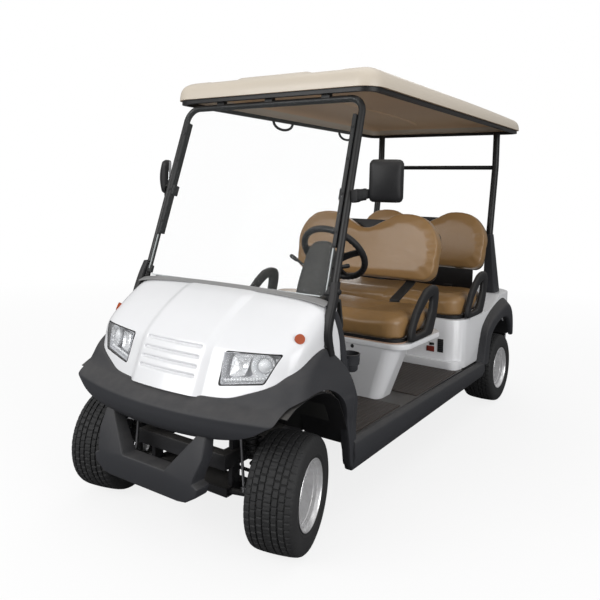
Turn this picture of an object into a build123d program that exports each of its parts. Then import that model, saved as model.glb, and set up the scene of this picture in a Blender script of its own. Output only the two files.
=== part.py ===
"""Four-seat electric golf cart, built as separate pieces in millimetres.

+Z is up, the cart faces -Y and its left side is +X. The origin is on the ground, under the
middle of the overall length. Stations are measured rearwards from the front axle, and
at(station) turns one into a Y coordinate.
"""
from build123d import *
import os
from math import atan2, cos, degrees, radians, sin

# ---- Driving dimensions --------------------------------------------------------------------
wheelbase = 2390
front_overhang = 305
rear_overhang = 405
body_half_width = 600
panel_wall = 8

tyre_od = 460
tyre_width = 205
rim_seat_r = 127
rim_flange_r = 137
front_half_track = 485
rear_half_track = 490
kingpin_x = 420
rest_steer = 14

floor_top = 360
seat_pitch = 828
seat_rim_top = 650
cushion_bottom = 668
cushion_top = 798

screen_tube_d = 32
roof_half_width = 600
roof_front = 415
roof_rear = wheelbase + rear_overhang - 145
roof_edge_z = 1870
roof_top_z = 1984
rail_depth = 20

overall_length = front_overhang + wheelbase + rear_overhang
front_axle_y = front_overhang - overall_length / 2
axle_z = tyre_od / 2
rear_station = wheelbase + rear_overhang
sides = (("left", 1), ("right", -1))

pieces = {}


def at(station):
    """Y coordinate of a station measured rearwards from the front axle."""
    return front_axle_y + station


def side_plane(x):
    """Side-view plane at x: local X runs rearwards from the front axle, local Y is up."""
    return Plane(origin=(x, front_axle_y, 0), x_dir=(0, 1, 0), z_dir=(1, 0, 0))


def cross_plane(station):
    """Cross-section plane at a station: local X is the cart's left, local Y is up."""
    return Plane(origin=(0, at(station), 0), x_dir=(1, 0, 0), z_dir=(0, -1, 0))


def plan_plane(z):
    """Plan plane at height z: local X is the cart's left, local Y runs rearwards."""
    return Plane(origin=(0, front_axle_y, z), x_dir=(1, 0, 0), z_dir=(0, 0, 1))


# ---- Wheels: tyre and rim, four of each ----------------------------------------------------
# columns: name, side, axle station, half track, steer angle at rest in degrees
wheel_table = (
    ("front_left", 1, 0, front_half_track, rest_steer),
    ("front_right", -1, 0, front_half_track, rest_steer),
    ("rear_left", 1, wheelbase, rear_half_track, 0),
    ("rear_right", -1, wheelbase, rear_half_track, 0),
)
rim_lip = 5
rim_half = tyre_width / 2 - 8
rim_wall = 8
disc_inner = -26
disc_outer = -12
hub_r = 34
hub_face = 8
axle_shaft_r = 15
running_gap = 0.05
stub_tip = -4
window_count = 5
shoulder_drop = 7
shoulder_in = 14


def wheel_frame(side, station, half_track, steer):
    """Plane at a wheel's centre: local X points outwards along its axle, local Y is up."""
    outward = Vector(side, 0, 0).rotate(Axis.Z, steer)
    pivot = Vector(side * kingpin_x, at(station), axle_z)
    centre = pivot + outward * (half_track - kingpin_x)
    return Plane(origin=centre, x_dir=outward, z_dir=outward.cross(Vector(0, 0, 1)))


for name, side, station, half_track, steer in wheel_table:
    section = wheel_frame(side, station, half_track, steer)
    spin = Axis(section.origin, section.x_dir)
    face = Plane(origin=section.origin, x_dir=(0, 0, 1), z_dir=section.x_dir)
    with BuildPart() as tyre:
        with BuildSketch(section):
            with BuildLine():
                bead = rim_half - rim_lip
                edge = tyre_width / 2 - shoulder_in
                crown = tyre_od / 2
                Polyline((-bead, rim_flange_r), (-bead, rim_seat_r), (bead, rim_seat_r), (bead, rim_flange_r))
                ThreePointArc(
                    (bead, rim_flange_r),
                    (tyre_width / 2, (rim_flange_r + crown) / 2),
                    (edge, crown - shoulder_drop),
                )
                ThreePointArc((edge, crown - shoulder_drop), (0, crown), (-edge, crown - shoulder_drop))
                ThreePointArc(
                    (-edge, crown - shoulder_drop),
                    (-tyre_width / 2, (rim_flange_r + crown) / 2),
                    (-bead, rim_flange_r),
                )
            make_face()
        revolve(axis=spin)
    pieces["tyre_" + name] = tyre

    with BuildPart() as rim:
        with BuildSketch(section):
            with BuildLine():
                Polyline(
                    (-rim_half, rim_flange_r),
                    (-rim_half, rim_seat_r - rim_wall),
                    (disc_inner, rim_seat_r - rim_wall),
                    (disc_inner, 0),
                    (hub_face, 0),
                    (hub_face, hub_r - 6),
                    (disc_outer, hub_r),
                    (disc_outer, rim_seat_r - rim_wall),
                    (rim_half, rim_seat_r - rim_wall + 4),
                    (rim_half, rim_flange_r),
                    (bead, rim_flange_r),
                    (bead, rim_seat_r),
                    (-bead, rim_seat_r),
                    (-bead, rim_flange_r),
                    close=True,
                )
            make_face()
        revolve(axis=spin)
        with BuildSketch(face):
            with PolarLocations((hub_r + rim_seat_r - rim_wall) / 2, window_count):
                Trapezoid(58, 46, 76, rotation=90)
        extrude(amount=tyre_width / 2, both=True, mode=Mode.SUBTRACT)
        with BuildSketch(face.offset(disc_inner)):
            Circle(axle_shaft_r + running_gap)
        extrude(amount=stub_tip + 1 - disc_inner, mode=Mode.SUBTRACT)
    pieces["rim_" + name] = rim

# ---- Knuckles: kingpin barrel, stub axle, brake drum and steering arm ----------------------
barrel_r = 17
barrel_height = 92
kingpin_r = 9
drum_r = 84
drum_gap = 5
drum_outer = disc_inner - drum_gap
drum_inner = drum_outer - 12
arm_length = 60
arm_z = axle_z + 14
arm_thickness = 12
arm_half_width = 13

for name, side in sides:
    section = wheel_frame(side, 0, front_half_track, rest_steer)
    inboard = kingpin_x - front_half_track
    face = Plane(origin=section.origin, x_dir=(0, 0, 1), z_dir=section.x_dir)
    rearward = Vector(0, 1, 0).rotate(Axis.Z, rest_steer)
    pivot = Vector(side * kingpin_x, at(0), 0)
    with BuildPart() as knuckle:
        with BuildSketch(Plane.XY.offset(axle_z - barrel_height / 2)):
            with Locations((pivot.X, pivot.Y)):
                Circle(barrel_r)
        extrude(amount=barrel_height)
        with BuildSketch(face.offset(inboard)):
            Circle(axle_shaft_r)
        extrude(amount=stub_tip - inboard)
        with BuildSketch(face.offset(drum_inner)):
            Circle(drum_r)
        extrude(amount=drum_outer - drum_inner)
        arm_plane = Plane(origin=(pivot.X, pivot.Y, arm_z), x_dir=rearward, z_dir=(0, 0, 1))
        with BuildSketch(arm_plane):
            with Locations((arm_length / 2, 0)):
                SlotCenterToCenter(arm_length, 2 * arm_half_width)
        extrude(amount=arm_thickness)
        with BuildSketch(Plane.XY.offset(axle_z - barrel_height)):
            with Locations((pivot.X, pivot.Y)):
                Circle(kingpin_r + running_gap)
        extrude(amount=2 * barrel_height, mode=Mode.SUBTRACT)
    pieces["knuckle_" + name] = knuckle

# ---- Tie rod between the two steering arms -------------------------------------------------
tie_gap = 2
eye_r = 14
eye_height = 16
tie_rod_r = 7.5
tie_station = arm_length * cos(radians(rest_steer))
tie_shift = -arm_length * sin(radians(rest_steer))
eye_top = arm_z - tie_gap
with BuildPart() as tie_rod:
    with BuildSketch(Plane.XY.offset(eye_top - eye_height)):
        with Locations(*[(side * kingpin_x + tie_shift, at(tie_station)) for _, side in sides]):
            Circle(eye_r)
    extrude(amount=eye_height)
    with BuildSketch(Plane.YZ.offset(tie_shift)):
        with Locations((at(tie_station), eye_top - eye_height / 2)):
            Circle(tie_rod_r)
    extrude(amount=kingpin_x, both=True)
pieces["tie_rod"] = tie_rod

# ---- Chassis: two rails joined by cross members --------------------------------------------
rail_x = 225
rail_width = 50
rail_bottom = 284
rail_top = floor_top - 12
rail_front = -100
rail_rear = rear_station - 70
cross_width = 50
cross_stations = (rail_front + 25, 420, 1100, 1760, rail_rear - 25)
with BuildPart() as chassis_frame:
    for _, side in sides:
        with BuildSketch(side_plane(side * rail_x)):
            with Locations(((rail_front + rail_rear) / 2, (rail_bottom + rail_top) / 2)):
                Rectangle(rail_rear - rail_front, rail_top - rail_bottom)
        extrude(amount=rail_width / 2, both=True)
    for station in cross_stations:
        with BuildSketch(side_plane(0)):
            with Locations((station, (rail_bottom + rail_top) / 2)):
                Rectangle(cross_width, rail_top - rail_bottom)
        extrude(amount=rail_x, both=True)
pieces["chassis_frame"] = chassis_frame

# ---- Front suspension: kingpins in their ears, lower arms, struts and subframe -------------
ear_gap = 1
ear_thickness = 12
ear_r = barrel_r
arm_tube_d = 26
arm_pivot_x = 170
arm_spread = 55
strut_d = 46
strut_top_x = 265
strut_top_z = 500
subframe_depth = 36
hanger_half = 10
lower_ear_z = axle_z - barrel_height / 2 - ear_gap - ear_thickness
upper_ear_z = axle_z + barrel_height / 2 + ear_gap
upright_x = kingpin_x - 62
upright_r = 16
tube_z = lower_ear_z + ear_thickness / 2
with BuildPart() as front_suspension:
    for _, side in sides:
        with BuildSketch(Plane.XY.offset(lower_ear_z)):
            with Locations((side * kingpin_x, at(0))):
                Circle(kingpin_r)
        extrude(amount=upper_ear_z + ear_thickness - lower_ear_z)
        for ear_z in (lower_ear_z, upper_ear_z):
            with BuildSketch(Plane.XY.offset(ear_z)):
                with Locations((side * (kingpin_x + upright_x) / 2, at(0))):
                    SlotCenterToCenter(kingpin_x - upright_x, 2 * ear_r)
            extrude(amount=ear_thickness)
        with BuildSketch(Plane.XY.offset(lower_ear_z)):
            with Locations((side * upright_x, at(0))):
                Circle(upright_r)
        extrude(amount=upper_ear_z + ear_thickness - lower_ear_z)
        for spread in (-arm_spread, arm_spread):
            with BuildLine() as leg:
                Line((side * arm_pivot_x, at(spread), tube_z), (side * upright_x, at(0), tube_z))
            with BuildSketch(Plane(origin=leg.line @ 0, z_dir=leg.line % 0)):
                Circle(arm_tube_d / 2)
            sweep(path=leg.line)
        with BuildLine() as strut:
            Line((side * upright_x, at(0), upper_ear_z), (side * strut_top_x, at(0), strut_top_z))
        with BuildSketch(Plane(origin=strut.line @ 0, z_dir=strut.line % 0)):
            Circle(strut_d / 2)
        sweep(path=strut.line)
        # columns: bottom, top of the plates that hang the subframe and carry the strut bar
        for bottom, top in ((tube_z, rail_bottom), (rail_top, strut_top_z)):
            with BuildSketch(side_plane(side * rail_x)):
                with Locations((-hanger_half, (bottom + top) / 2)):
                    Rectangle(50, top - bottom)
            extrude(amount=hanger_half, both=True)
    with BuildSketch(side_plane(0)):
        with Locations((0, tube_z)):
            Rectangle(2 * arm_spread + arm_tube_d, subframe_depth)
    extrude(amount=rail_x + hanger_half, both=True)
    with BuildSketch(side_plane(0)):
        with Locations((0, strut_top_z)):
            Rectangle(60, 20)
    extrude(amount=strut_top_x + 35, both=True)
pieces["front_suspension"] = front_suspension

# ---- Floor pan, mats and side rockers ------------------------------------------------------
floor_front = 340
floor_half_width = 560
mat_thickness = 6
mat_margin = 10
pan_top = floor_top - mat_thickness
base_front = 884
base_rear = 1065
rear_front = 1690
floor_rear = rear_front + 40
toe_step = 34
with BuildPart() as floor_pan:
    with BuildSketch(plan_plane(rail_top)):
        with Locations((0, (floor_front + floor_rear) / 2)):
            Rectangle(2 * floor_half_width, floor_rear - floor_front)
    extrude(amount=pan_top - rail_top)
pieces["floor_pan"] = floor_pan

with BuildPart() as floor_mats:
    with BuildSketch(plan_plane(pan_top)):
        # columns: front edge, rear edge
        for front, rear in ((floor_front, base_front), (base_rear, rear_front - toe_step)):
            with Locations((0, (front + rear) / 2)):
                Rectangle(2 * (floor_half_width - mat_margin), rear - front - 2 * mat_margin)
    extrude(amount=mat_thickness)
pieces["floor_mats"] = floor_mats

rocker_bottom = 236
rocker_front = 344
rocker_rear = wheelbase - 540
with BuildPart() as side_rockers:
    for _, side in sides:
        with BuildSketch(cross_plane(rocker_front)):
            with BuildLine():
                Polyline(
                    (side * (floor_half_width - 40), rail_top),
                    (side * (floor_half_width - 40), rail_top - 16),
                    (side * (floor_half_width - 14), rocker_bottom),
                    (side * (body_half_width - 18), rocker_bottom),
                    (side * body_half_width, rocker_bottom + 50),
                    (side * (body_half_width - 4), floor_top - 14),
                    (side * (body_half_width - 20), floor_top + 2),
                    (side * floor_half_width, floor_top + 2),
                    (side * floor_half_width, rail_top),
                    close=True,
                )
            make_face()
        extrude(amount=rocker_front - rocker_rear)
pieces["side_rockers"] = side_rockers

# ---- Front cowl: a crowned bonnet over a raked nose, with a proud centre panel -------------
cowl_bottom = 600
cowl_rear = 175
cowl_side_rear = 262
nose_bottom = -205
cowl_half_width = 556
cowl_top = 976
# columns: height, half width, front station, sweep back to the corner, corner radius
cowl_levels = (
    (cowl_bottom, cowl_half_width - 16, nose_bottom, 100, 90),
    (690, cowl_half_width - 8, nose_bottom + 37, 84, 110),
    (785, cowl_half_width - 3, nose_bottom + 80, 50, 130),
    (853, cowl_half_width, nose_bottom + 150, 50, 140),
    (905, cowl_half_width, nose_bottom + 220, 55, 140),
    (946, cowl_half_width - 4, nose_bottom + 290, 60, 100),
    (cowl_top, 200, nose_bottom + 355, 8, 8),
)


def cowl_solid(inset):
    """Closed solid of the cowl's outside, every face moved inwards by inset."""
    with BuildPart() as solid:
        for lower, upper in zip(cowl_levels, cowl_levels[1:]):
            for z, half_width, front, swept, corner in (lower, upper):
                wide = half_width - inset
                nose = front + inset
                with BuildSketch(plan_plane(z - inset)) as level:
                    with BuildLine():
                        ThreePointArc((-wide, nose + swept), (0, nose), (wide, nose + swept))
                        Polyline(
                            (wide, nose + swept),
                            (wide, cowl_side_rear),
                            (-wide, cowl_side_rear),
                            (-wide, nose + swept),
                        )
                    make_face()
                    fillet(level.vertices().sort_by(Axis.Y)[:2], radius=corner)
            loft(ruled=True)
    return solid.part


panel_half = 160
panel_rise = 12
groove_depth = 8
groove_height = 9
groove_half = 148
louvre_heights = (780, 748, 714, 683)
cowl_outer = cowl_solid(0)
cowl_inner = cowl_solid(panel_wall)
cowl_proud = cowl_solid(-panel_rise)
with BuildPart() as centre_panel:
    with BuildSketch(plan_plane(cowl_bottom)):
        with Locations((0, (nose_bottom - 2 * panel_rise + cowl_rear) / 2)):
            Rectangle(2 * panel_half, cowl_rear - nose_bottom + 2 * panel_rise)
    extrude(amount=cowl_top + 2 * panel_rise - cowl_bottom)
    add(cowl_proud, mode=Mode.INTERSECT)
with BuildPart() as louvres:
    with BuildSketch(cross_plane(nose_bottom - 2 * panel_rise)):
        with Locations(*[(0, z) for z in louvre_heights]):
            Rectangle(2 * groove_half, groove_height)
    extrude(amount=nose_bottom - 2 * panel_rise)
    add(cowl_solid(groove_depth - panel_rise), mode=Mode.SUBTRACT)
with BuildPart() as front_cowl:
    add(cowl_outer)
    add(centre_panel.part)
    add(louvres.part, mode=Mode.SUBTRACT)
    add(cowl_inner, mode=Mode.SUBTRACT)
    with BuildSketch(side_plane(0)):
        with BuildLine():
            Polyline(
                (-front_overhang, cowl_bottom),
                (-front_overhang, cowl_top + 2 * panel_rise),
                (cowl_rear, cowl_top + 2 * panel_rise),
                (cowl_rear + 4, 940),
                (cowl_side_rear - 38, 838),
                (cowl_side_rear - 5, 744),
                (cowl_side_rear, 690),
                (cowl_side_rear, cowl_bottom),
                close=True,
            )
        make_face()
    extrude(amount=2 * body_half_width, both=True, mode=Mode.INTERSECT)

# ---- Lamps let into the cowl ---------------------------------------------------------------
lamp_depth = 26
lamp_proud = 3
with BuildPart() as headlights:
    with BuildSketch(cross_plane(nose_bottom)):
        for _, side in sides:
            with BuildLine():
                Polyline(
                    (side * 258, 777),
                    (side * 500, 790),
                    (side * 448, 676),
                    (side * 262, 650),
                    close=True,
                )
            make_face()
    extrude(amount=nose_bottom)
    add(cowl_solid(panel_wall + lamp_depth), mode=Mode.SUBTRACT)
    add(cowl_solid(-lamp_proud), mode=Mode.INTERSECT)
pieces["headlights"] = headlights

with BuildPart() as cowl_cut:
    add(front_cowl.part)
    add(headlights.part, mode=Mode.SUBTRACT)
pieces["front_cowl"] = cowl_cut

marker_x = 522
marker_station = 10
marker_z = 840
marker_r = 20
marker_sink = 8
marker_proud = 7
with BuildPart() as side_markers:
    for _, side in sides:
        facing = Vector(side * 0.7, -0.6, 0.35).normalized()
        seat = Vector(side * marker_x, at(marker_station), marker_z) - facing * marker_sink
        with BuildSketch(Plane(origin=seat, z_dir=facing)):
            Circle(marker_r)
        extrude(amount=marker_sink + marker_proud)
pieces["side_markers"] = side_markers

# ---- Front fenders and bumper: one dark moulding around the nose ---------------------------
crease_z = 553
skirt_bottom = 456
fender_rear = rocker_front - 2
# columns: height, half width, front station, sweep back to the corner, corner radius
fender_levels = (
    (skirt_bottom, body_half_width - 10, -258, 115, 100),
    (490, body_half_width + 2, -284, 115, 100),
    (crease_z, body_half_width + 6, -290, 115, 100),
    (cowl_bottom + 3, body_half_width, nose_bottom - 2, 80, 100),
    (690, body_half_width - 18, nose_bottom + 60, 60, 110),
    (800, cowl_half_width + 5, nose_bottom + 215, 50, 120),
)


def fender_solid(inset):
    """Closed solid of the fender moulding, its outside moved inwards by inset."""
    with BuildPart() as solid:
        for lower, upper in zip(fender_levels, fender_levels[1:]):
            for z, half_width, front, swept, corner in (lower, upper):
                wide = half_width - inset
                nose = front + inset
                drop = inset if z > crease_z else 0
                with BuildSketch(plan_plane(z - drop)) as level:
                    with BuildLine():
                        ThreePointArc((-wide, nose + swept), (0, nose), (wide, nose + swept))
                        Polyline(
                            (wide, nose + swept),
                            (wide, fender_rear),
                            (-wide, fender_rear),
                            (-wide, nose + swept),
                        )
                    make_face()
                    fillet(level.vertices().sort_by(Axis.Y)[:2], radius=corner)
            loft(ruled=True)
    return solid.part


arch_rear = 296
leg_wall = 15
liner_inner_x = 367
liner_gap = 12
liner_top = 640
fender_outer = fender_solid(0)
fender_inner = fender_solid(panel_wall)
with BuildPart() as front_fenders:
    add(fender_outer)
    add(fender_inner, mode=Mode.SUBTRACT)
    with BuildSketch(side_plane(0)):
        with BuildLine():
            Polyline(
                (-front_overhang, skirt_bottom),
                (fender_rear, skirt_bottom),
                (fender_rear - 16, 481),
                (fender_rear - 44, 582),
                (fender_rear - 110, 669),
                (fender_rear - 177, 737),
                (fender_rear - 190, 790),
                (130, 783),
                (-25, 748),
                (-148, 675),
                (-185, 615),
                (nose_bottom - 7, cowl_bottom + 2),
                (-front_overhang, cowl_bottom + 2),
                close=True,
            )
        make_face()
    extrude(amount=2 * body_half_width, both=True, mode=Mode.INTERSECT)
    add(cowl_outer, mode=Mode.SUBTRACT)
    for _, side in sides:
        with BuildSketch(side_plane(side * (body_half_width - leg_wall / 2 - 1))):
            with Locations(((arch_rear - 90 + fender_rear) / 2, (rocker_bottom + 480) / 2)):
                Rectangle(fender_rear - arch_rear + 90, 480 - rocker_bottom)
        extrude(amount=leg_wall / 2, both=True)
        with BuildSketch(side_plane(side * (liner_inner_x + body_half_width) / 2)):
            with BuildLine():
                Polyline(
                    (arch_rear + 26, rail_top),
                    (arch_rear + 26 + panel_wall, rail_top),
                    (arch_rear - 50 + panel_wall, liner_top + panel_wall),
                    (-140, liner_top + panel_wall),
                    (-190, 600),
                    (-182, 596),
                    (-136, liner_top),
                    (arch_rear - 50, liner_top),
                    close=True,
                )
            make_face()
        extrude(amount=(body_half_width - liner_inner_x) / 2 - liner_gap, both=True)
    with BuildSketch(side_plane(0)):
        with BuildLine():
            ThreePointArc((-222, 500), (-205, 550), (-160, 590))
            ThreePointArc((-160, 590), (-60, 628), (43, 637))
            ThreePointArc((43, 637), (150, 622), (213, 566))
            Polyline(
                (213, 566),
                (259, 470),
                (arch_rear - 7, 381),
                (arch_rear, 263),
                (arch_rear + 4, 150),
                (-262, 150),
                (-262, 440),
                (-240, 470),
                (-222, 500),
            )
        make_face()
    extrude(amount=2 * body_half_width, both=True, mode=Mode.SUBTRACT)
pieces["front_fenders"] = front_fenders

# ---- Chin guard under the bumper: a bar held by two arms that lean back ---------------------
guard_front = -front_overhang
guard_bar_top = 325
guard_bottom = 224
guard_top = 475
with BuildPart() as bumper_guard:
    with BuildSketch(cross_plane(guard_front)):
        with BuildLine():
            right = Polyline(
                (0, guard_bar_top),
                (118, guard_bar_top),
                (222, guard_top - 20),
                (236, guard_top),
                (282, guard_top),
                (290, 400),
                (264, 308),
                (292, 296),
                (284, 262),
                (232, guard_bottom + 6),
                (190, guard_bottom),
                (0, guard_bottom),
            )
            mirror(right, about=Plane.YZ)
        make_face()
    extrude(amount=-120)
    with BuildSketch(side_plane(0)):
        with BuildLine():
            Polyline(
                (guard_front, guard_bottom),
                (guard_front, guard_bar_top + 5),
                (guard_front + 52, guard_top),
                (guard_front + 105, guard_top),
                (guard_front + 75, guard_bar_top),
                (guard_front + 62, guard_bottom),
                close=True,
            )
        make_face()
    extrude(amount=2 * body_half_width, both=True, mode=Mode.INTERSECT)
pieces["bumper_guard"] = bumper_guard

# ---- Door jambs: the trim bands behind the cowl's sides, each with an open pocket -----------
jamb_outer_x = cowl_half_width + 6
jamb_inner_x = cowl_half_width - 36
pocket_depth = 80
pocket_wall = 8
with BuildPart() as door_jambs:
    for _, side in sides:
        with BuildSketch(side_plane(side * jamb_inner_x)):
            with BuildLine():
                Polyline(
                    (cowl_rear + 4, 940),
                    (cowl_rear + 25, 948),
                    (cowl_side_rear - 14, 878),
                    (cowl_side_rear + 20, 816),
                    (cowl_side_rear + 30, 760),
                    (cowl_side_rear + 24, 690),
                    (cowl_side_rear, 690),
                    (cowl_side_rear - 5, 744),
                    (cowl_side_rear - 38, 838),
                    close=True,
                )
            make_face()
        extrude(amount=side * (jamb_outer_x - jamb_inner_x))
        with BuildSketch(side_plane(side * (jamb_inner_x + pocket_wall))):
            with BuildLine():
                Polyline(
                    (cowl_side_rear + 2, 660),
                    (cowl_side_rear + 2, 716),
                    (cowl_side_rear + 40, 728),
                    (495, 728),
                    (488, 650),
                    (400, 640),
                    close=True,
                )
            make_face()
        extrude(amount=-side * pocket_depth)
        with BuildSketch(plan_plane(660)):
            with Locations((side * (jamb_inner_x + pocket_wall - pocket_depth / 2), 398)):
                Rectangle(pocket_depth - 2 * pocket_wall, 495 - 300 - 2 * pocket_wall)
        extrude(amount=100, mode=Mode.SUBTRACT)
pieces["door_jambs"] = door_jambs

# ---- Dash: a top ledge, a face plate and the kick board down to the floor -------------------
dash_half_width = 500
dash_wall = 12
with BuildPart() as dash_panel:
    with BuildSketch(side_plane(0)):
        with BuildLine():
            Polyline(
                (cowl_rear, 960),
                (cowl_rear + 60, 976),
                (cowl_rear + 180, 950),
                (cowl_rear + 205, 830),
                (cowl_rear + 150, 745),
                (cowl_rear + 140, 752),
                (cowl_rear + 192, 832),
                (cowl_rear + 170, 938),
                (cowl_rear + 60, 976 - dash_wall),
                (cowl_rear + dash_wall, 946),
                (cowl_rear + dash_wall, 640),
                (floor_front, rail_top),
                (floor_front - dash_wall, rail_top),
                (cowl_rear, 636),
                close=True,
            )
        make_face()
    extrude(amount=dash_half_width, both=True)
pieces["dash_panel"] = dash_panel

# ---- Steering wheel, its column and the column's cover --------------------------------------
wheel_x = 264
wheel_station = 678
wheel_z = 1111
column_tilt = 40
wheel_rim_r = 150
wheel_tube_r = 13
column_r = 24
column_shaft_r = 11
column_length = 430
hub_clear = 3
hub_drop = 46
hub_boss_r = 42
shaft_depth = 60
axis_up = Vector(0, cos(radians(column_tilt)), sin(radians(column_tilt)))
wheel_origin = Vector(wheel_x, at(wheel_station), wheel_z)
wheel_disc = Plane(origin=wheel_origin, x_dir=(1, 0, 0), z_dir=axis_up)
with BuildPart() as steering_wheel:
    with BuildSketch(Plane(origin=wheel_origin, x_dir=(1, 0, 0), z_dir=wheel_disc.y_dir)):
        with Locations((wheel_rim_r, 0)):
            Circle(wheel_tube_r)
    revolve(axis=Axis(wheel_origin, axis_up))
    with BuildSketch(wheel_disc.offset(-hub_drop)):
        Circle(hub_boss_r)
    extrude(amount=30)
    with BuildSketch(wheel_disc.offset(-hub_drop - hub_clear - shaft_depth)):
        Circle(column_shaft_r)
    extrude(amount=shaft_depth + hub_clear + 5)
    for angle in (90, 210, 330):
        tip = Vector(wheel_rim_r, 0, 0).rotate(Axis.Z, angle)
        base = Vector(30, 0, 0).rotate(Axis.Z, angle)
        start = wheel_disc.from_local_coords((base.X, base.Y, -hub_drop + 15))
        finish = wheel_disc.from_local_coords((tip.X, tip.Y, 0))
        with BuildLine() as spoke:
            Line(start, finish)
        with BuildSketch(Plane(origin=spoke.line @ 0, z_dir=spoke.line % 0)):
            Circle(9)
        sweep(path=spoke.line)
pieces["steering_wheel"] = steering_wheel

with BuildPart() as steering_column:
    with BuildSketch(wheel_disc.offset(-hub_drop - hub_clear)):
        Circle(column_r)
    extrude(amount=-column_length)
    with BuildSketch(wheel_disc.offset(-hub_drop - hub_clear)):
        Circle(column_shaft_r + running_gap)
    extrude(amount=-shaft_depth - 2, mode=Mode.SUBTRACT)
pieces["steering_column"] = steering_column

cover_half_width = 78
cover_gap = 14
with BuildPart() as column_cover:
    with BuildSketch(side_plane(wheel_x)):
        with BuildLine():
            Polyline(
                (cowl_rear + 155, 938),
                (cowl_rear + 325, 1185),
                (cowl_rear + 385, 1180),
                (cowl_rear + 400, 1060),
                (cowl_rear + 245, 925),
                close=True,
            )
        make_face()
    extrude(amount=cover_half_width, both=True)
    with BuildSketch(wheel_disc.offset(-hub_drop - hub_clear - column_length)):
        Circle(column_r)
    extrude(amount=column_length + 200, mode=Mode.SUBTRACT)
    with BuildSketch(wheel_disc.offset(-hub_drop - cover_gap)):
        Circle(wheel_rim_r + 3 * wheel_tube_r)
    extrude(amount=200, mode=Mode.SUBTRACT)
pieces["column_cover"] = column_cover

pedal_half_width = 34
with BuildPart() as pedals:
    for x in (wheel_x - 90, wheel_x + 30):
        with BuildSketch(side_plane(x)):
            with BuildLine():
                Polyline(
                    (floor_front + 90, floor_top),
                    (floor_front + 40, floor_top + 130),
                    (floor_front + 48, floor_top + 134),
                    (floor_front + 110, floor_top),
                    close=True,
                )
            make_face()
        extrude(amount=pedal_half_width, both=True)
pieces["pedals"] = pedals

# ---- Windscreen frame and the clear screen in front of it -----------------------------------
screen_base = (552, 150, 786)
screen_head = (520, 471, 1826)
corner_bend = 70
base_x, base_station, base_z = screen_base
head_x, head_station, head_z = screen_head
with BuildPart() as windscreen_frame:
    with BuildLine() as route:
        FilletPolyline(
            (base_x, at(base_station), base_z),
            (head_x, at(head_station), head_z),
            (-head_x, at(head_station), head_z),
            (-base_x, at(base_station), base_z),
            radius=corner_bend,
        )
    with BuildSketch(Plane(origin=route.line @ 0, z_dir=route.line % 0)):
        Circle(screen_tube_d / 2)
    sweep(path=route.line)
pieces["windscreen_frame"] = windscreen_frame

screen_thickness = 5
screen_gap = 0.5
rake = degrees(atan2(head_station - base_station, head_z - base_z))
screen_up = Vector(0, sin(radians(rake)), cos(radians(rake)))
screen_plane = Plane(
    origin=(0, at(base_station), base_z), x_dir=(1, 0, 0), z_dir=Vector(1, 0, 0).cross(screen_up)
)
screen_length = (head_z - base_z) / cos(radians(rake))
screen_top = screen_length - 5
screen_bottom = 195
with BuildPart() as windscreen:
    with BuildSketch(screen_plane.offset(screen_tube_d / 2 + screen_gap)):
        with BuildLine():
            Polyline(
                (-530, screen_bottom + 40),
                (-500, screen_bottom),
                (500, screen_bottom),
                (530, screen_bottom + 40),
                (508, screen_top),
                (-508, screen_top),
                close=True,
            )
        make_face()
    extrude(amount=screen_thickness)
pieces["windscreen"] = windscreen

# ---- Roof: a shallow moulded shell on a perimeter rail, spaced off the front frame ----------
roof_length = roof_rear - roof_front
roof_middle = (roof_front + roof_rear) / 2
roof_wall = 12
roof_lip = 22
roof_corner = 95
# columns: height, inset from the edge
roof_levels = ((roof_edge_z, 0), (roof_edge_z + 50, 10), (roof_edge_z + 95, 60), (roof_top_z, 200))


def roof_solid(inset, drop):
    """Closed solid of the roof's outside, its edge moved in by inset and its top down by drop."""
    with BuildPart() as solid:
        for lower, upper in zip(roof_levels, roof_levels[1:]):
            for z, taper in (lower, upper):
                sink = drop if z > roof_edge_z else 0
                with BuildSketch(plan_plane(z - sink)):
                    with Locations((0, roof_middle)):
                        RectangleRounded(
                            2 * (roof_half_width - taper - inset),
                            roof_length - 2 * (taper + inset),
                            roof_corner - inset,
                        )
            loft(ruled=True)
    return solid.part


with BuildPart() as roof_shell:
    add(roof_solid(0, 0))
    add(roof_solid(roof_lip, roof_wall), mode=Mode.SUBTRACT)
pieces["roof_shell"] = roof_shell

rail_inset = 14
rail_wall = 26
rail_bottom_z = roof_edge_z - rail_depth
spacer_stations = (-300, 4, 327)
spacer_half = 22
with BuildPart() as roof_rail:
    with BuildSketch(plan_plane(rail_bottom_z)):
        with Locations((0, roof_middle)):
            RectangleRounded(2 * (roof_half_width - rail_inset), roof_length - 2 * rail_inset, roof_corner - 14)
            RectangleRounded(
                2 * (roof_half_width - rail_inset - rail_wall),
                roof_length - 2 * (rail_inset + rail_wall),
                roof_corner - 40,
                mode=Mode.SUBTRACT,
            )
    extrude(amount=rail_depth)
    with BuildSketch(plan_plane(head_z)):
        with Locations(*[(x, head_station) for x in spacer_stations]):
            Rectangle(2 * spacer_half, 26)
    extrude(amount=rail_bottom_z - head_z)
    with BuildSketch(plan_plane(rail_bottom_z)):
        with Locations(*[(x, head_station - 8) for x in spacer_stations]):
            Rectangle(2 * spacer_half, 42)
    extrude(amount=rail_depth)
pieces["roof_rail"] = roof_rail

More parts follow.
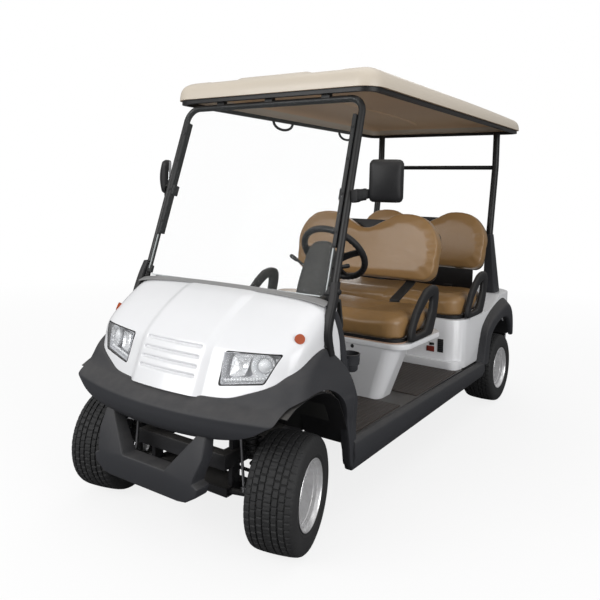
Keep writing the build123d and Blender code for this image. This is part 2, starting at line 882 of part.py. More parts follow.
handle_x = -(roof_half_width - rail_inset - rail_wall / 2)
handle_drop = 44
handle_length = 208
handle_r = 6
handle_stations = (1283, 2084)
with BuildPart() as grab_handles:
    for station in handle_stations:
        with BuildLine() as route:
            FilletPolyline(
                (handle_x, at(station), rail_bottom_z),
                (handle_x, at(station + 14), rail_bottom_z - handle_drop),
                (handle_x, at(station + handle_length - 14), rail_bottom_z - handle_drop),
                (handle_x, at(station + handle_length), rail_bottom_z),
                radius=18,
            )
        with BuildSketch(Plane(origin=route.line @ 0, z_dir=route.line % 0)):
            Circle(handle_r)
        sweep(path=route.line)
pieces["grab_handles"] = grab_handles

# ---- Rear posts joined by a cross bar, and the covers over their feet -----------------------
post_d = 32
post_x = 452
deck_z = 724
post_foot = rear_station - 255
post_waist = (post_foot - 70, 1140)
post_knee = (post_foot + 5, 1620)
bar_z = 1611
bar_r = 8
with BuildPart() as rear_posts:
    for _, side in sides:
        with BuildLine() as route:
            FilletPolyline(
                (side * post_x, at(post_foot), deck_z),
                (side * post_x, at(post_waist[0]), post_waist[1]),
                (side * post_x, at(post_knee[0]), post_knee[1]),
                (side * post_x, at(post_knee[0]), rail_bottom_z),
                radius=150,
            )
        with BuildSketch(Plane(origin=route.line @ 0, z_dir=route.line % 0)):
            Circle(post_d / 2)
        sweep(path=route.line)
    with BuildSketch(side_plane(0)):
        with Locations((post_knee[0] - 1, bar_z)):
            Circle(bar_r)
    extrude(amount=post_x, both=True)
pieces["rear_posts"] = rear_posts

with BuildPart() as post_covers:
    for _, side in sides:
        # columns: height, station, width, length
        for z, station, width, length in ((deck_z, post_foot + 22, 84, 128), (post_waist[1], post_waist[0], 48, 58)):
            with BuildSketch(plan_plane(z)):
                with Locations((side * post_x, station)):
                    RectangleRounded(width, length, 12)
        loft(ruled=True)
    add(rear_posts.part, mode=Mode.SUBTRACT)
pieces["post_covers"] = post_covers

# ---- Front seat base: a tapering box with a wide rim under the cushion ----------------------
rim_height = 26
rim_half_width = 556
rim_front = 884
rim_rear = 1412
rim_corner = 90


def pedestal(inset):
    """Closed solid of the front seat base, tapering from its rim down to the floor."""
    with BuildPart() as solid:
        # columns: height, half width, front station, rear station, corner radius
        for z, half_width, front, rear, corner in (
            (pan_top + inset, 425, base_front - 6, base_rear, 60),
            (seat_rim_top - rim_height, 515, base_front + 4, base_rear + 40, 80),
        ):
            with BuildSketch(plan_plane(z)):
                with Locations((0, (front + rear) / 2)):
                    RectangleRounded(2 * (half_width - inset), rear - front - 2 * inset, corner - inset)
        loft(ruled=True)
    return solid.part


base_outer = pedestal(0)
base_inner = pedestal(panel_wall)
with BuildPart() as front_seat_base:
    add(base_outer)
    with BuildSketch(plan_plane(seat_rim_top - rim_height)):
        with Locations((0, (rim_front + rim_rear) / 2)):
            RectangleRounded(2 * rim_half_width, rim_rear - rim_front, rim_corner)
    extrude(amount=rim_height)
    with BuildSketch(plan_plane(seat_rim_top - rim_height)):
        with Locations((0, (base_rear + 60 + rim_rear) / 2)):
            Rectangle(2 * (rim_half_width - 60), rim_rear - base_rear - 100)
    extrude(amount=rim_height - panel_wall, mode=Mode.SUBTRACT)
    add(base_inner, mode=Mode.SUBTRACT)
pieces["front_seat_base"] = front_seat_base

# ---- Rear body: hollow tub under the rear seat, with the load deck behind -------------------
rear_side_x = 552
rear_wall_station = rear_station - 12
deck_front = rear_front + 750
deck_foot = rear_front + 535
front_corner = 110
rear_corner = 190
arch_r = 293
arch_station = wheelbase - 15
arch_z = 290
pad_front = deck_front + 15
pad_rear = rear_wall_station - 60
pad_half = 370
pad_rise = 4
step_top = 402
bumper_z = 340
bumper_height = 90
bumper_half = 500
bumper_depth = 120
bumper_wall = 12


def tub(inset):
    """Closed solid of the rear body's outside, its sides and top moved inwards by inset."""
    with BuildPart() as solid:
        with BuildSketch(plan_plane(pan_top)) as outline:
            with Locations((0, (rear_front + rear_wall_station) / 2)):
                Rectangle(2 * (rear_side_x - inset), rear_wall_station - rear_front - 2 * inset)
            fillet(outline.vertices().sort_by(Axis.Y)[:2], radius=front_corner - inset)
            fillet(outline.vertices().sort_by(Axis.Y)[-2:], radius=rear_corner - inset)
        extrude(amount=deck_z - pan_top)
        with BuildSketch(side_plane(0)):
            with BuildLine():
                Polyline(
                    (rear_front - 10, pan_top),
                    (rear_front - 10, seat_rim_top - inset),
                    (deck_foot, seat_rim_top - inset),
                    (deck_front, deck_z - inset),
                    (rear_station, deck_z - inset),
                    (rear_station, pan_top),
                    close=True,
                )
            make_face()
        extrude(amount=2 * body_half_width, both=True, mode=Mode.INTERSECT)
    return solid.part


with BuildPart() as bumper_space:
    with BuildSketch(plan_plane(bumper_z)):
        with Locations((0, rear_station - bumper_depth / 2)):
            Rectangle(2 * bumper_half, bumper_depth)
    extrude(amount=bumper_height)

with BuildPart() as rear_body:
    add(tub(0))
    with BuildSketch(plan_plane(pan_top)):
        with Locations((0, rear_front + 55)):
            RectangleRounded(2 * rear_side_x - 20, 110 + 2 * toe_step, 60)
    extrude(amount=step_top - pan_top)
    add(tub(panel_wall), mode=Mode.SUBTRACT)
    with BuildSketch(plan_plane(deck_z - panel_wall)):
        with Locations((0, (pad_front + pad_rear) / 2)):
            RectangleRounded(2 * pad_half, pad_rear - pad_front, 20)
    extrude(amount=panel_wall + pad_rise)
    with BuildSketch(side_plane(0)):
        with Locations((arch_station, arch_z)):
            Circle(arch_r)
    extrude(amount=2 * body_half_width, both=True, mode=Mode.SUBTRACT)
    add(bumper_space.part, mode=Mode.SUBTRACT)
pieces["rear_body"] = rear_body

# ---- Rear fenders: side plates over the rear wheels with narrow liner bands -----------------
rear_liner_inner_x = 380
fender_foot = arch_station - 575
shoulder = (arch_station - 142, 656)
crown = (arch_station - 5, 698)
fender_tail = (arch_station + 125, 694)
with BuildPart() as rear_fenders:
    for _, side in sides:
        with BuildSketch(side_plane(side * (rear_side_x + body_half_width) / 2)):
            with BuildLine():
                Polyline(
                    (arch_station, bumper_z),
                    (fender_foot, bumper_z),
                    (fender_foot + 15, rail_top + 16),
                    (arch_station - 360, 475),
                    (arch_station - 353, 547),
                    (arch_station - 258, 606),
                    shoulder,
                )
                ThreePointArc(shoulder, crown, fender_tail)
                Polyline(
                    fender_tail,
                    (arch_station + 223, 600),
                    (arch_station + 265, 455),
                    (arch_station + 225, 425),
                    (arch_station, bumper_z),
                )
            make_face()
        extrude(amount=(body_half_width - rear_side_x) / 2 - 2, both=True)
        with BuildSketch(side_plane(side * (rear_side_x + rear_liner_inner_x) / 2)):
            with Locations((arch_station, arch_z)):
                Circle(arch_r + panel_wall)
            with Locations((arch_station, pan_top - 2 * arch_r)):
                Rectangle(4 * arch_r, 4 * arch_r, mode=Mode.SUBTRACT)
        extrude(amount=(rear_side_x - rear_liner_inner_x) / 2 + 2, both=True)
    with BuildSketch(side_plane(0)):
        with Locations((arch_station, arch_z)):
            Circle(arch_r)
    extrude(amount=2 * body_half_width, both=True, mode=Mode.SUBTRACT)
pieces["rear_fenders"] = rear_fenders

# ---- Rear bumper and tail lamps -------------------------------------------------------------
with BuildPart() as rear_bumper:
    add(bumper_space.part)
    with BuildSketch(plan_plane(bumper_z)):
        with Locations((0, rear_station - bumper_wall - bumper_depth / 2)):
            Rectangle(2 * (bumper_half - bumper_wall), bumper_depth)
    extrude(amount=bumper_height - bumper_wall, mode=Mode.SUBTRACT)
pieces["rear_bumper"] = rear_bumper

lamp_x = 400
lamp_z = 600
with BuildPart() as tail_lamps:
    with BuildSketch(cross_plane(rear_wall_station)):
        with Locations(*[(side * lamp_x, lamp_z) for _, side in sides]):
            RectangleRounded(90, 120, 14)
    extrude(amount=rear_wall_station - rear_station)
pieces["tail_lamps"] = tail_lamps

# ---- Seats: cushions and two-humped backrests, the same in both rows ------------------------
cushion_front = 885
cushion_rear = 1372
cushion_half_width = 530
cushion_edge_r = 36
back_lean = 12
back_thickness = 95
back_half_width = 490
back_bottom = 905
hump_x = 280
hump_top = 1305
dip_top = 1215
back_station = 1405
frame_sheet = 14
sheet_half = 330
strap = 14
strap_x = 360
loop_x = 545
loop_r = 14
lean = radians(back_lean)
rise = (hump_top - back_bottom) / cos(lean)
dip = (dip_top - back_bottom) / cos(lean)
row_shift = {"front": 0, "rear": seat_pitch}


def lean_plane(shift):
    """Plane of a backrest's front face, raised on its lower edge."""
    return Plane(
        origin=(0, at(back_station + shift), back_bottom),
        x_dir=(1, 0, 0),
        z_dir=(0, -cos(lean), sin(lean)),
    )


for row, shift in row_shift.items():
    with BuildPart() as cushion:
        with BuildSketch(plan_plane(cushion_bottom)):
            with Locations((0, (cushion_front + cushion_rear) / 2 + shift)):
                RectangleRounded(2 * cushion_half_width, cushion_rear - cushion_front, 90)
        extrude(amount=cushion_top - cushion_bottom)
        fillet(cushion.faces().sort_by(Axis.Z)[-1].edges(), radius=cushion_edge_r)
    pieces[row + "_seat_cushion"] = cushion

    with BuildPart() as backrest:
        with BuildSketch(lean_plane(shift)):
            with BuildLine():
                half = back_half_width
                ThreePointArc((-60, dip + 12), (0, dip), (60, dip + 12))
                Line((60, dip + 12), (hump_x - 80, rise - 8))
                ThreePointArc((hump_x - 80, rise - 8), (hump_x, rise), (hump_x + 100, rise - 20))
                ThreePointArc((hump_x + 100, rise - 20), (half - 30, rise - 100), (half, rise - 210))
                Line((half, rise - 210), (half - 10, 70))
                ThreePointArc((half - 10, 70), (half - 35, 20), (half - 90, 0))
                Line((half - 90, 0), (-half + 90, 0))
                ThreePointArc((-half + 90, 0), (-half + 35, 20), (-half + 10, 70))
                Line((-half + 10, 70), (-half, rise - 210))
                ThreePointArc((-half, rise - 210), (-half + 30, rise - 100), (-hump_x - 100, rise - 20))
                ThreePointArc((-hump_x - 100, rise - 20), (-hump_x, rise), (-hump_x + 80, rise - 8))
                Line((-hump_x + 80, rise - 8), (-60, dip + 12))
            make_face()
        extrude(amount=-back_thickness)
    pieces[row + "_seat_back"] = backrest

with BuildPart() as back_frames:
    for shift in row_shift.values():
        with BuildSketch(lean_plane(shift).offset(-back_thickness)):
            with Locations((0, rise / 2 - 40)):
                RectangleRounded(2 * back_half_width - 60, rise - 100, 60)
            with Locations((0, dip - 60)):
                RectangleRounded(2 * sheet_half, 2 * (rise - dip + 20), 20)
        extrude(amount=-frame_sheet)
        foot = cushion_rear + shift + 6
        heel = back_station + shift + back_thickness
        for x in (-strap_x, strap_x):
            with BuildSketch(side_plane(x)):
                with BuildLine():
                    Polyline(
                        (foot, seat_rim_top),
                        (foot + strap, seat_rim_top),
                        (foot + strap, 786),
                        (heel + 8, 868),
                        (heel + 34, 915),
                        (heel + 64, 1060),
                        (heel + 64 - strap, 1060),
                        (heel + 34 - strap, 919),
                        (heel - 4, 876),
                        (foot, 792),
                        close=True,
                    )
                make_face()
            extrude(amount=17, both=True)
    for row in row_shift:
        add(pieces[row + "_seat_back"].part, mode=Mode.SUBTRACT)
        add(pieces[row + "_seat_cushion"].part, mode=Mode.SUBTRACT)
pieces["back_frames"] = back_frames

with BuildPart() as hip_restraints:
    for shift in row_shift.values():
        for _, side in sides:
            with BuildLine() as route:
                FilletPolyline(
                    (side * loop_x, at(1000 + shift), seat_rim_top),
                    (side * loop_x, at(1295 + shift), 912),
                    (side * loop_x, at(1312 + shift), 880),
                    (side * loop_x, at(1290 + shift), seat_rim_top),
                    radius=22,
                )
            with BuildSketch(Plane(origin=route.line @ 0, z_dir=route.line % 0)):
                Circle(loop_r)
            sweep(path=route.line)
pieces["hip_restraints"] = hip_restraints

# ---- Mirrors on arms from the windscreen posts ----------------------------------------------
mirror_width = 145
mirror_height = 180
mirror_half_depth = 22
mirror_corner = 34
arm_root = (544, 352, 1400)
arm_r = 10
# columns: side, x, station, height, turn about the vertical in degrees
mirror_table = ((1, 674, 400, 1462, 15), (-1, -662, 445, 1470, -43))
with BuildPart() as mirrors:
    for side, x, station, z, turn in mirror_table:
        glass_dir = Vector(0, -1, 0).rotate(Axis.Z, turn)
        across = Vector(1, 0, 0).rotate(Axis.Z, turn)
        centre = Vector(x, at(station), z)
        with BuildSketch(Plane(origin=centre, x_dir=across, z_dir=glass_dir)):
            RectangleRounded(mirror_width, mirror_height, mirror_corner)
        extrude(amount=mirror_half_depth, both=True)
        with BuildLine() as arm:
            Line((side * arm_root[0], at(arm_root[1]), arm_root[2]), centre)
        with BuildSketch(Plane(origin=arm.line @ 0, z_dir=arm.line % 0)):
            Circle(arm_r)
        sweep(path=arm.line)
pieces["mirrors"] = mirrors

# ---- Rear axle on leaf springs, motor and battery -------------------------------------------
axle_tube_r = 34
rear_drum_inner = -92
gear_case_r = 96
spring_x = 297
spring_front = wheelbase - 420
spring_rear = wheelbase + 380
spring_end_z = 306
spring_sag = 28
leaf_half = 6
with BuildPart() as rear_axle:
    with BuildSketch(side_plane(0)):
        with Locations((wheelbase, axle_z)):
            Circle(axle_tube_r)
    extrude(amount=rear_half_track + rear_drum_inner + 5, both=True)
    with BuildSketch(side_plane(0)):
        with Locations((wheelbase, axle_z)):
            Circle(axle_shaft_r)
    extrude(amount=rear_half_track + stub_tip, both=True)
    with BuildSketch(side_plane(60)):
        with Locations((wheelbase, axle_z)):
            Circle(gear_case_r)
    extrude(amount=70, both=True)
    for _, side in sides:
        with BuildSketch(side_plane(side * (rear_half_track + rear_drum_inner))):
            with Locations((wheelbase, axle_z)):
                Circle(drum_r)
        extrude(amount=side * (drum_outer - rear_drum_inner))
        with BuildSketch(side_plane(side * spring_x)):
            with BuildLine():
                upper = spring_end_z + leaf_half
                lower = spring_end_z - leaf_half
                ThreePointArc((spring_front, lower), (wheelbase, lower - spring_sag), (spring_rear, lower))
                Line((spring_rear, lower), (spring_rear, upper))
                ThreePointArc((spring_rear, upper), (wheelbase, upper - spring_sag), (spring_front, upper))
                Line((spring_front, upper), (spring_front, lower))
            make_face()
        extrude(amount=25, both=True)
        with BuildSketch(side_plane(side * spring_x)):
            with Locations((wheelbase, axle_z + axle_tube_r)):
                Rectangle(90, 40)
        extrude(amount=30, both=True)
        with BuildSketch(side_plane(side * (rail_x + rail_width / 2))):
            with Locations((spring_front + 18, spring_end_z), (spring_rear - 18, spring_end_z)):
                Rectangle(36, 40)
        extrude(amount=side * 90)
pieces["rear_axle"] = rear_axle

motor_r = 88
motor_x = -95
motor_half_length = 90
with BuildPart() as motor:
    with BuildSketch(side_plane(motor_x)):
        with Locations((wheelbase, axle_z + 10)):
            Circle(motor_r)
    extrude(amount=motor_half_length, both=True)
    add(rear_axle.part, mode=Mode.SUBTRACT)
pieces["motor"] = motor

battery_half_width = 380
battery_height = 246
with BuildPart() as battery_block:
    with BuildSketch(plan_plane(pan_top + panel_wall)):
        with Locations((0, (base_front + base_rear) / 2)):
            Rectangle(2 * battery_half_width, base_rear - base_front - 40)
    extrude(amount=battery_height)
pieces["battery_block"] = battery_block

# ---- Neighbours that bear on each other: the first is trimmed around the others -------------
# columns: trimmed piece, the pieces it is let in around
trim_table = (
    ("front_cowl", ("windscreen_frame", "side_markers")),
    ("front_fenders", ("front_cowl", "windscreen_frame", "bumper_guard", "headlights")),
    ("door_jambs", ("windscreen_frame", "front_fenders", "front_cowl")),
    ("dash_panel", ("front_cowl", "front_fenders", "column_cover", "steering_column", "door_jambs")),
    ("roof_rail", ("windscreen_frame", "windscreen")),
    ("grab_handles", ("roof_rail",)),
    ("hip_restraints", ("front_seat_base", "rear_fenders")),
    ("rear_body", ("rear_posts", "floor_pan", "hip_restraints")),
    ("rear_fenders", ("rear_body", "side_rockers")),
    ("mirrors", ("windscreen_frame",)),
)
for label, neighbours in trim_table:
    with BuildPart() as trimmed:
        add(pieces[label].part)
        for neighbour in neighbours:
            add(pieces[neighbour].part, mode=Mode.SUBTRACT)
    pieces[label] = trimmed

for label, piece in pieces.items():
    piece.part.label = label
os.makedirs("parts", exist_ok=True)
for label, piece in pieces.items():
    export_step(piece.part, f"parts/{label}.step")
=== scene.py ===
"""Four-seat electric golf cart: shaped panels, padded seats, lamps and finishes over the frame."""

from math import atan2, cos, pi, radians, sin, sqrt, tan

import bpy
from mathutils import Matrix, Vector


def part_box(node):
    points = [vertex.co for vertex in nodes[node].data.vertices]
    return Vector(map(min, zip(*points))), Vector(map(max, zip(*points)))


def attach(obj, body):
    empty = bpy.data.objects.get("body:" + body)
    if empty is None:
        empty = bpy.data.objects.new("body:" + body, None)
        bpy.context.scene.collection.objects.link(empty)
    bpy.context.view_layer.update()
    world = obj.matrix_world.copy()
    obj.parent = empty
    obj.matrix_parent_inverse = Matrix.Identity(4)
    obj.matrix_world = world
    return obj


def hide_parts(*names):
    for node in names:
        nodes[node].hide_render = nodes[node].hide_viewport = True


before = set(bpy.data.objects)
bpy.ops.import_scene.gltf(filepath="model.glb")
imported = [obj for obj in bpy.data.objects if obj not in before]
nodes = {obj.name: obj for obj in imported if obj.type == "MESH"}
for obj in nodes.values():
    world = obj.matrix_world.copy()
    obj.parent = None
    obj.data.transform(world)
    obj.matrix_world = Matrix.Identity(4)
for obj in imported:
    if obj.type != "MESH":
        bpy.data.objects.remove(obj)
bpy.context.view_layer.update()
bpy.ops.object.select_all(action="DESELECT")

# ---- Studio --------------------------------------------------------------------------------
# A pale floor under a plain white surround. The lamps are large and soft, one high in front,
# one each side, so that gloss shows as broad pale bands and shadows stay light.


class Wire:
    """One output socket. Sums, products and powers of wires add Math nodes."""

    def __init__(self, coat, socket):
        self.coat = coat
        self.socket = socket

    def maths(self, operation, first, second):
        return self.coat.node("ShaderNodeMath", {"operation": operation}, {0: first, 1: second})

    def at_least(self, other):
        return self.maths("MAXIMUM", self, other)

    def __add__(self, other):
        return self.maths("ADD", self, other)

    def __radd__(self, other):
        return self.maths("ADD", other, self)

    def __sub__(self, other):
        return self.maths("SUBTRACT", self, other)

    def __rsub__(self, other):
        return self.maths("SUBTRACT", other, self)

    def __mul__(self, other):
        return self.maths("MULTIPLY", self, other)

    def __rmul__(self, other):
        return self.maths("MULTIPLY", other, self)

    def __truediv__(self, other):
        return self.maths("DIVIDE", self, other)

    def __pow__(self, other):
        return self.maths("POWER", self, other)


class Coat:
    """A material, or the world, built up node by node."""

    def __init__(self, name, tree=None):
        if tree is None:
            self.material = bpy.data.materials.new(name)
            self.material.use_nodes = True
            tree = self.material.node_tree
            self.shader = tree.nodes["Principled BSDF"]
        self.tree = tree
        self.place = self.node("ShaderNodeTexCoord", {}, {}, "Object")

    def node(self, kind, settings, sockets, out=0):
        made = self.tree.nodes.new(kind)
        for key, value in settings.items():
            if key == "stops":
                ramp = made.color_ramp.elements
                while len(ramp) < len(value):
                    ramp.new(0.5)
                for stop, (position, shade) in zip(ramp, value):
                    stop.position = position
                    stop.color = (shade, shade, shade, 1)
            else:
                setattr(made, key, value)
        for key, value in sockets.items():
            self.plug(made.inputs[key], value)
        return Wire(self, made.outputs[out])

    def plug(self, socket, value):
        if isinstance(value, Wire):
            self.tree.links.new(value.socket, socket)
        else:
            socket.default_value = value

    def set(self, **values):
        """Sets or links the shader's sockets, named with underscores for spaces."""
        for key, value in values.items():
            self.plug(self.shader.inputs[key.replace("_", " ")], value)

    def noise(self, scale, detail=2.0, rough=0.5, vector=None):
        return self.node(
            "ShaderNodeTexNoise",
            {},
            {"Vector": vector or self.place, "Scale": scale, "Detail": detail, "Roughness": rough},
        )

    def stretch(self, x, y, z):
        """Object coordinates scaled by different amounts along the three axes."""
        return self.node("ShaderNodeMapping", {}, {"Vector": self.place, "Scale": (x, y, z)})

    def ramp(self, factor, *stops):
        return self.node("ShaderNodeValToRGB", {"stops": stops}, {"Fac": factor})

    def mix(self, factor, first, second):
        """Two colours blended by a factor."""
        return self.node("ShaderNodeMix", {"data_type": "RGBA"}, {0: factor, 6: first, 7: second}, 2)

    def bump(self, height, distance, under=None):
        sockets = {"Height": height, "Distance": distance, "Strength": 1.0}
        if under:
            sockets["Normal"] = under
        return self.node("ShaderNodeBump", {}, sockets)

    def upward(self):
        """1 where the surface faces the sky, 0 where it is upright or faces down."""
        normal = self.node("ShaderNodeNewGeometry", {}, {}, "Normal")
        return self.node("ShaderNodeSeparateXYZ", {}, {0: normal}, 2).at_least(0.0)


def rgb(red, green, blue):
    return (red, green, blue, 1.0)


def name_piece(name):
    """Names the active object and its mesh, and returns it."""
    piece = bpy.context.object
    piece.name = name
    piece.data.name = name
    return piece


floor_coat = Coat("studio_floor")
far = floor_coat.node("ShaderNodeVectorMath", {"operation": "LENGTH"}, {0: floor_coat.place}, 1)
seen = floor_coat.node("ShaderNodeLightPath", {}, {}, "Is Camera Ray")
fade = floor_coat.ramp(far / 9.0, (0.0, 0.80), (0.30, 0.86), (0.75, 1.0))
glow = floor_coat.node("ShaderNodeEmission", {}, {"Color": rgb(1, 1, 1), "Strength": 1.0})
pale = floor_coat.mix(seen, rgb(0.22, 0.22, 0.225), rgb(0.86, 0.86, 0.86))
plain = floor_coat.node("ShaderNodeBsdfDiffuse", {}, {"Color": pale})
lit = floor_coat.node("ShaderNodeMixShader", {}, {0: seen * fade, 1: plain, 2: glow})
floor_coat.plug(floor_coat.tree.nodes["Material Output"].inputs["Surface"], lit)
bpy.ops.mesh.primitive_plane_add(size=60, location=(0, 0, -0.001))
floor = name_piece("studio_floor")
floor.data.materials.append(floor_coat.material)

world = bpy.data.worlds.new("studio")
bpy.context.scene.world = world
world.use_nodes = True
sky = Coat("studio", world.node_tree)
path = sky.node("ShaderNodeLightPath", {}, {}, "Is Camera Ray")
clear = sky.node("ShaderNodeLightPath", {}, {}, "Is Transmission Ray")
heading = sky.node("ShaderNodeNewGeometry", {}, {}, "Position")
height = sky.node("ShaderNodeSeparateXYZ", {}, {0: heading}, 2)
ceiling = sky.ramp(height * 0.5 + 0.5, (0.40, 0.10), (0.52, 0.24), (0.66, 0.50), (0.95, 0.58))
background = world.node_tree.nodes["Background"]
sky.plug(background.inputs["Color"], rgb(1, 1, 1))
sky.plug(background.inputs["Strength"], path.at_least(clear).at_least(ceiling))

# columns: name, size across, size up, place, aimed at, watts
for name, width, height, place, target, watts in (
    ("key", 4.0, 2.4, (-1.6, -5.4, 2.9), (0, -0.4, 0.7), 170),
    ("fill", 3.4, 3.0, (5.0, -1.9, 2.0), (0, 0, 0.6), 125),
    ("top", 5.0, 3.4, (0.2, 0.4, 5.2), (0, 0, 0), 45),
    ("back", 3.0, 2.2, (-2.4, 4.6, 3.2), (0, 0.4, 0.8), 40),
):
    bpy.ops.object.light_add(type="AREA", location=place)
    lamp = bpy.context.object
    lamp.name = "studio_" + name
    lamp.data.shape = "RECTANGLE"
    lamp.data.size = width
    lamp.data.size_y = height
    lamp.data.energy = watts
    lamp.rotation_euler = (Vector(target) - Vector(place)).to_track_quat("-Z", "Y").to_euler()

# The camera stands low off the cart's front left corner, turned 34 degrees towards it, and dips
# and leans a little.
eye = Vector((1.89766, -3.27427, 1.41073))
turn, dip, lean = radians(34.2256), radians(3.0053), radians(1.3976)
picture_side = 600
focal_length = 644.697
centre_height = 225.016
ahead = Vector((-sin(turn) * cos(dip), cos(turn) * cos(dip), -sin(dip)))
right = ahead.cross(Vector((0, 0, 1))).normalized()
above = right.cross(ahead)
right, above = cos(lean) * right + sin(lean) * above, -sin(lean) * right + cos(lean) * above
bpy.ops.object.camera_add()
camera = bpy.context.object
camera.matrix_world = Matrix.Translation(eye) @ Matrix((right, above, -ahead)).transposed().to_4x4()
camera.data.sensor_width = 36
camera.data.lens = focal_length / picture_side * 36
camera.data.shift_y = (centre_height - picture_side / 2) / picture_side
bpy.context.scene.camera = camera
bpy.context.scene.view_settings.view_transform = "Standard"
bpy.ops.object.select_all(action="DESELECT")

# ---- Finishes of the hard parts -------------------------------------------------------------
# Most of the cart is moulded plastic or black powder coat. Each has a fine grain, slow changes
# of tone and gloss over its length, and a film of dust where it faces up.


def moulded(name, colour, roughness, grain, depth, dust=0.10, metal=0.0, lacquer=0.0, patch=0.10):
    """Plastic or paint: grain is bumps per metre, depth their height in metres."""
    coat = Coat(name)
    slow = coat.noise(5.0, 3.0)
    fine = coat.noise(grain, 2.0, 0.6)
    smear = coat.noise(17.0, 4.0, 0.65, coat.stretch(1, 0.6, 1.4))
    darker = tuple(c * (1 - patch) for c in colour[:3]) + (1.0,)
    lighter = tuple(min(c * (1 + patch), 1.0) for c in colour[:3]) + (1.0,)
    tone = coat.mix(slow, darker, lighter)
    film = coat.upward() * smear * dust
    tone = coat.mix(film, tone, rgb(0.42, 0.39, 0.35))
    coat.set(
        Base_Color=tone,
        Roughness=roughness - 0.05 + smear * 0.12 + film * 0.6,
        Metallic=metal,
        Coat_Weight=lacquer,
        Coat_Roughness=0.12,
        Normal=coat.bump(fine, depth),
    )
    return coat


def dress(node, coat):
    """Gives a CAD node one finish."""
    nodes[node].data.materials.clear()
    nodes[node].data.materials.append(coat.material)


white_panel = moulded(
    "white_panel", rgb(0.79, 0.795, 0.81), 0.30, 60, 0.0001, dust=0.06, lacquer=0.55, patch=0.025
)
charcoal = moulded("charcoal_plastic", rgb(0.027, 0.028, 0.032), 0.58, 900, 0.00025, dust=0.14)
dash_grey = moulded("grey_plastic", rgb(0.024, 0.024, 0.023), 0.58, 800, 0.0003, dust=0.20)
black_frame = moulded("black_powder_coat", rgb(0.010, 0.010, 0.0105), 0.40, 1100, 0.00012)
black_plastic = moulded("black_plastic", rgb(0.010, 0.010, 0.011), 0.50, 1000, 0.0002, dust=0.12)
# The roof's underside: its beige tinted warmer and deeper, painted shade for the shadow the underside
# lies in.
roof_shaded_under = moulded("beige_underside", rgb(0.74, 0.535, 0.35), 0.50, 70, 0.00012, dust=0.0, patch=0.04)
roof_beige = moulded(
    "beige_panel", rgb(0.62, 0.55, 0.455), 0.42, 70, 0.00012, dust=0.06, lacquer=0.15, patch=0.03
)
steel = moulded("black_steel", rgb(0.022, 0.022, 0.024), 0.45, 300, 0.0002, dust=0.25)
casting = moulded("grey_casting", rgb(0.16, 0.16, 0.165), 0.55, 240, 0.0006, dust=0.20, metal=0.6)
amber = moulded("amber_lens", rgb(0.36, 0.055, 0.006), 0.38, 160, 0.0003, dust=0.0)
red_lens = moulded("red_lens", rgb(0.40, 0.012, 0.012), 0.22, 160, 0.0003, dust=0.05, lacquer=0.6)
for coat in (charcoal, dash_grey, black_plastic, black_frame, roof_shaded_under, amber):
    coat.set(Specular_IOR_Level=0.32)
for coat, names in (
    (white_panel, ("front_cowl", "front_seat_base", "rear_body")),
    (charcoal, ("front_fenders", "bumper_guard", "rear_fenders", "side_rockers", "rear_bumper")),
    (charcoal, ("door_jambs", "post_covers")),
    (dash_grey, ("dash_panel", "column_cover")),
    (black_frame, ("windscreen_frame", "rear_posts", "roof_rail", "back_frames", "grab_handles")),
    (black_plastic, ("steering_wheel", "steering_column", "mirrors", "pedals", "hip_restraints")),
    (black_plastic, ("battery_block",)),
    (roof_beige, ("roof_shell",)),
    (steel, ("chassis_frame", "front_suspension", "floor_pan", "tie_rod", "rear_axle")),
    (steel, ("knuckle_left", "knuckle_right")),
    (casting, ("motor",)),
    (amber, ("side_markers",)),
    (red_lens, ("tail_lamps",)),
):
    for name in names:
        dress(name, coat)

# ---- Floor mats -----------------------------------------------------------------------------
# Brown-black rubber sheets that lie on the floor pan, moulded with narrow ribs which run along
# the cart. The ribs are in the finish, since they stand only 2 mm high.
mat_rubber = Coat("ribbed_rubber")
half_rib = 0.011
across = mat_rubber.node("ShaderNodeSeparateXYZ", {}, {0: mat_rubber.place}, 0)
rib = mat_rubber.ramp(across.maths("PINGPONG", across, half_rib) / half_rib, (0.35, 0.0), (0.6, 1.0))
scuff = mat_rubber.noise(9.0, 5.0, 0.7)
mat_rubber.set(
    Base_Color=mat_rubber.mix(scuff, rgb(0.026, 0.021, 0.018), rgb(0.062, 0.05, 0.043)),
    Roughness=0.55 + scuff * 0.2,
    Normal=mat_rubber.bump(rib + mat_rubber.noise(500) * 0.15, 0.0022),
)
dress("floor_mats", mat_rubber)

# ---- Windscreen -----------------------------------------------------------------------------
# A sheet of clear acrylic, clipped to the front of the tube frame. It is so clear that only its
# edges and its gloss show.
acrylic = Coat("clear_acrylic")
rim_light = acrylic.node("ShaderNodeLayerWeight", {}, {"Blend": 0.25}, "Facing")
haze = acrylic.noise(3.0, 4.0, 0.7)
acrylic.set(
    Base_Color=rgb(0.55, 0.60, 0.60),
    Roughness=0.03 + haze * 0.04,
    Alpha=0.012 + haze * 0.012 + (rim_light ** 4.0) * 0.30,
)
dress("windscreen", acrylic)

# ---- Cowl -----------------------------------------------------------------------------------
# One white moulding: an upright nose that leans back into a crowned bonnet, with a proud panel
# down its middle that carries four louvre grooves. Openings are cut for the two headlamps.
axle_y = -1.245


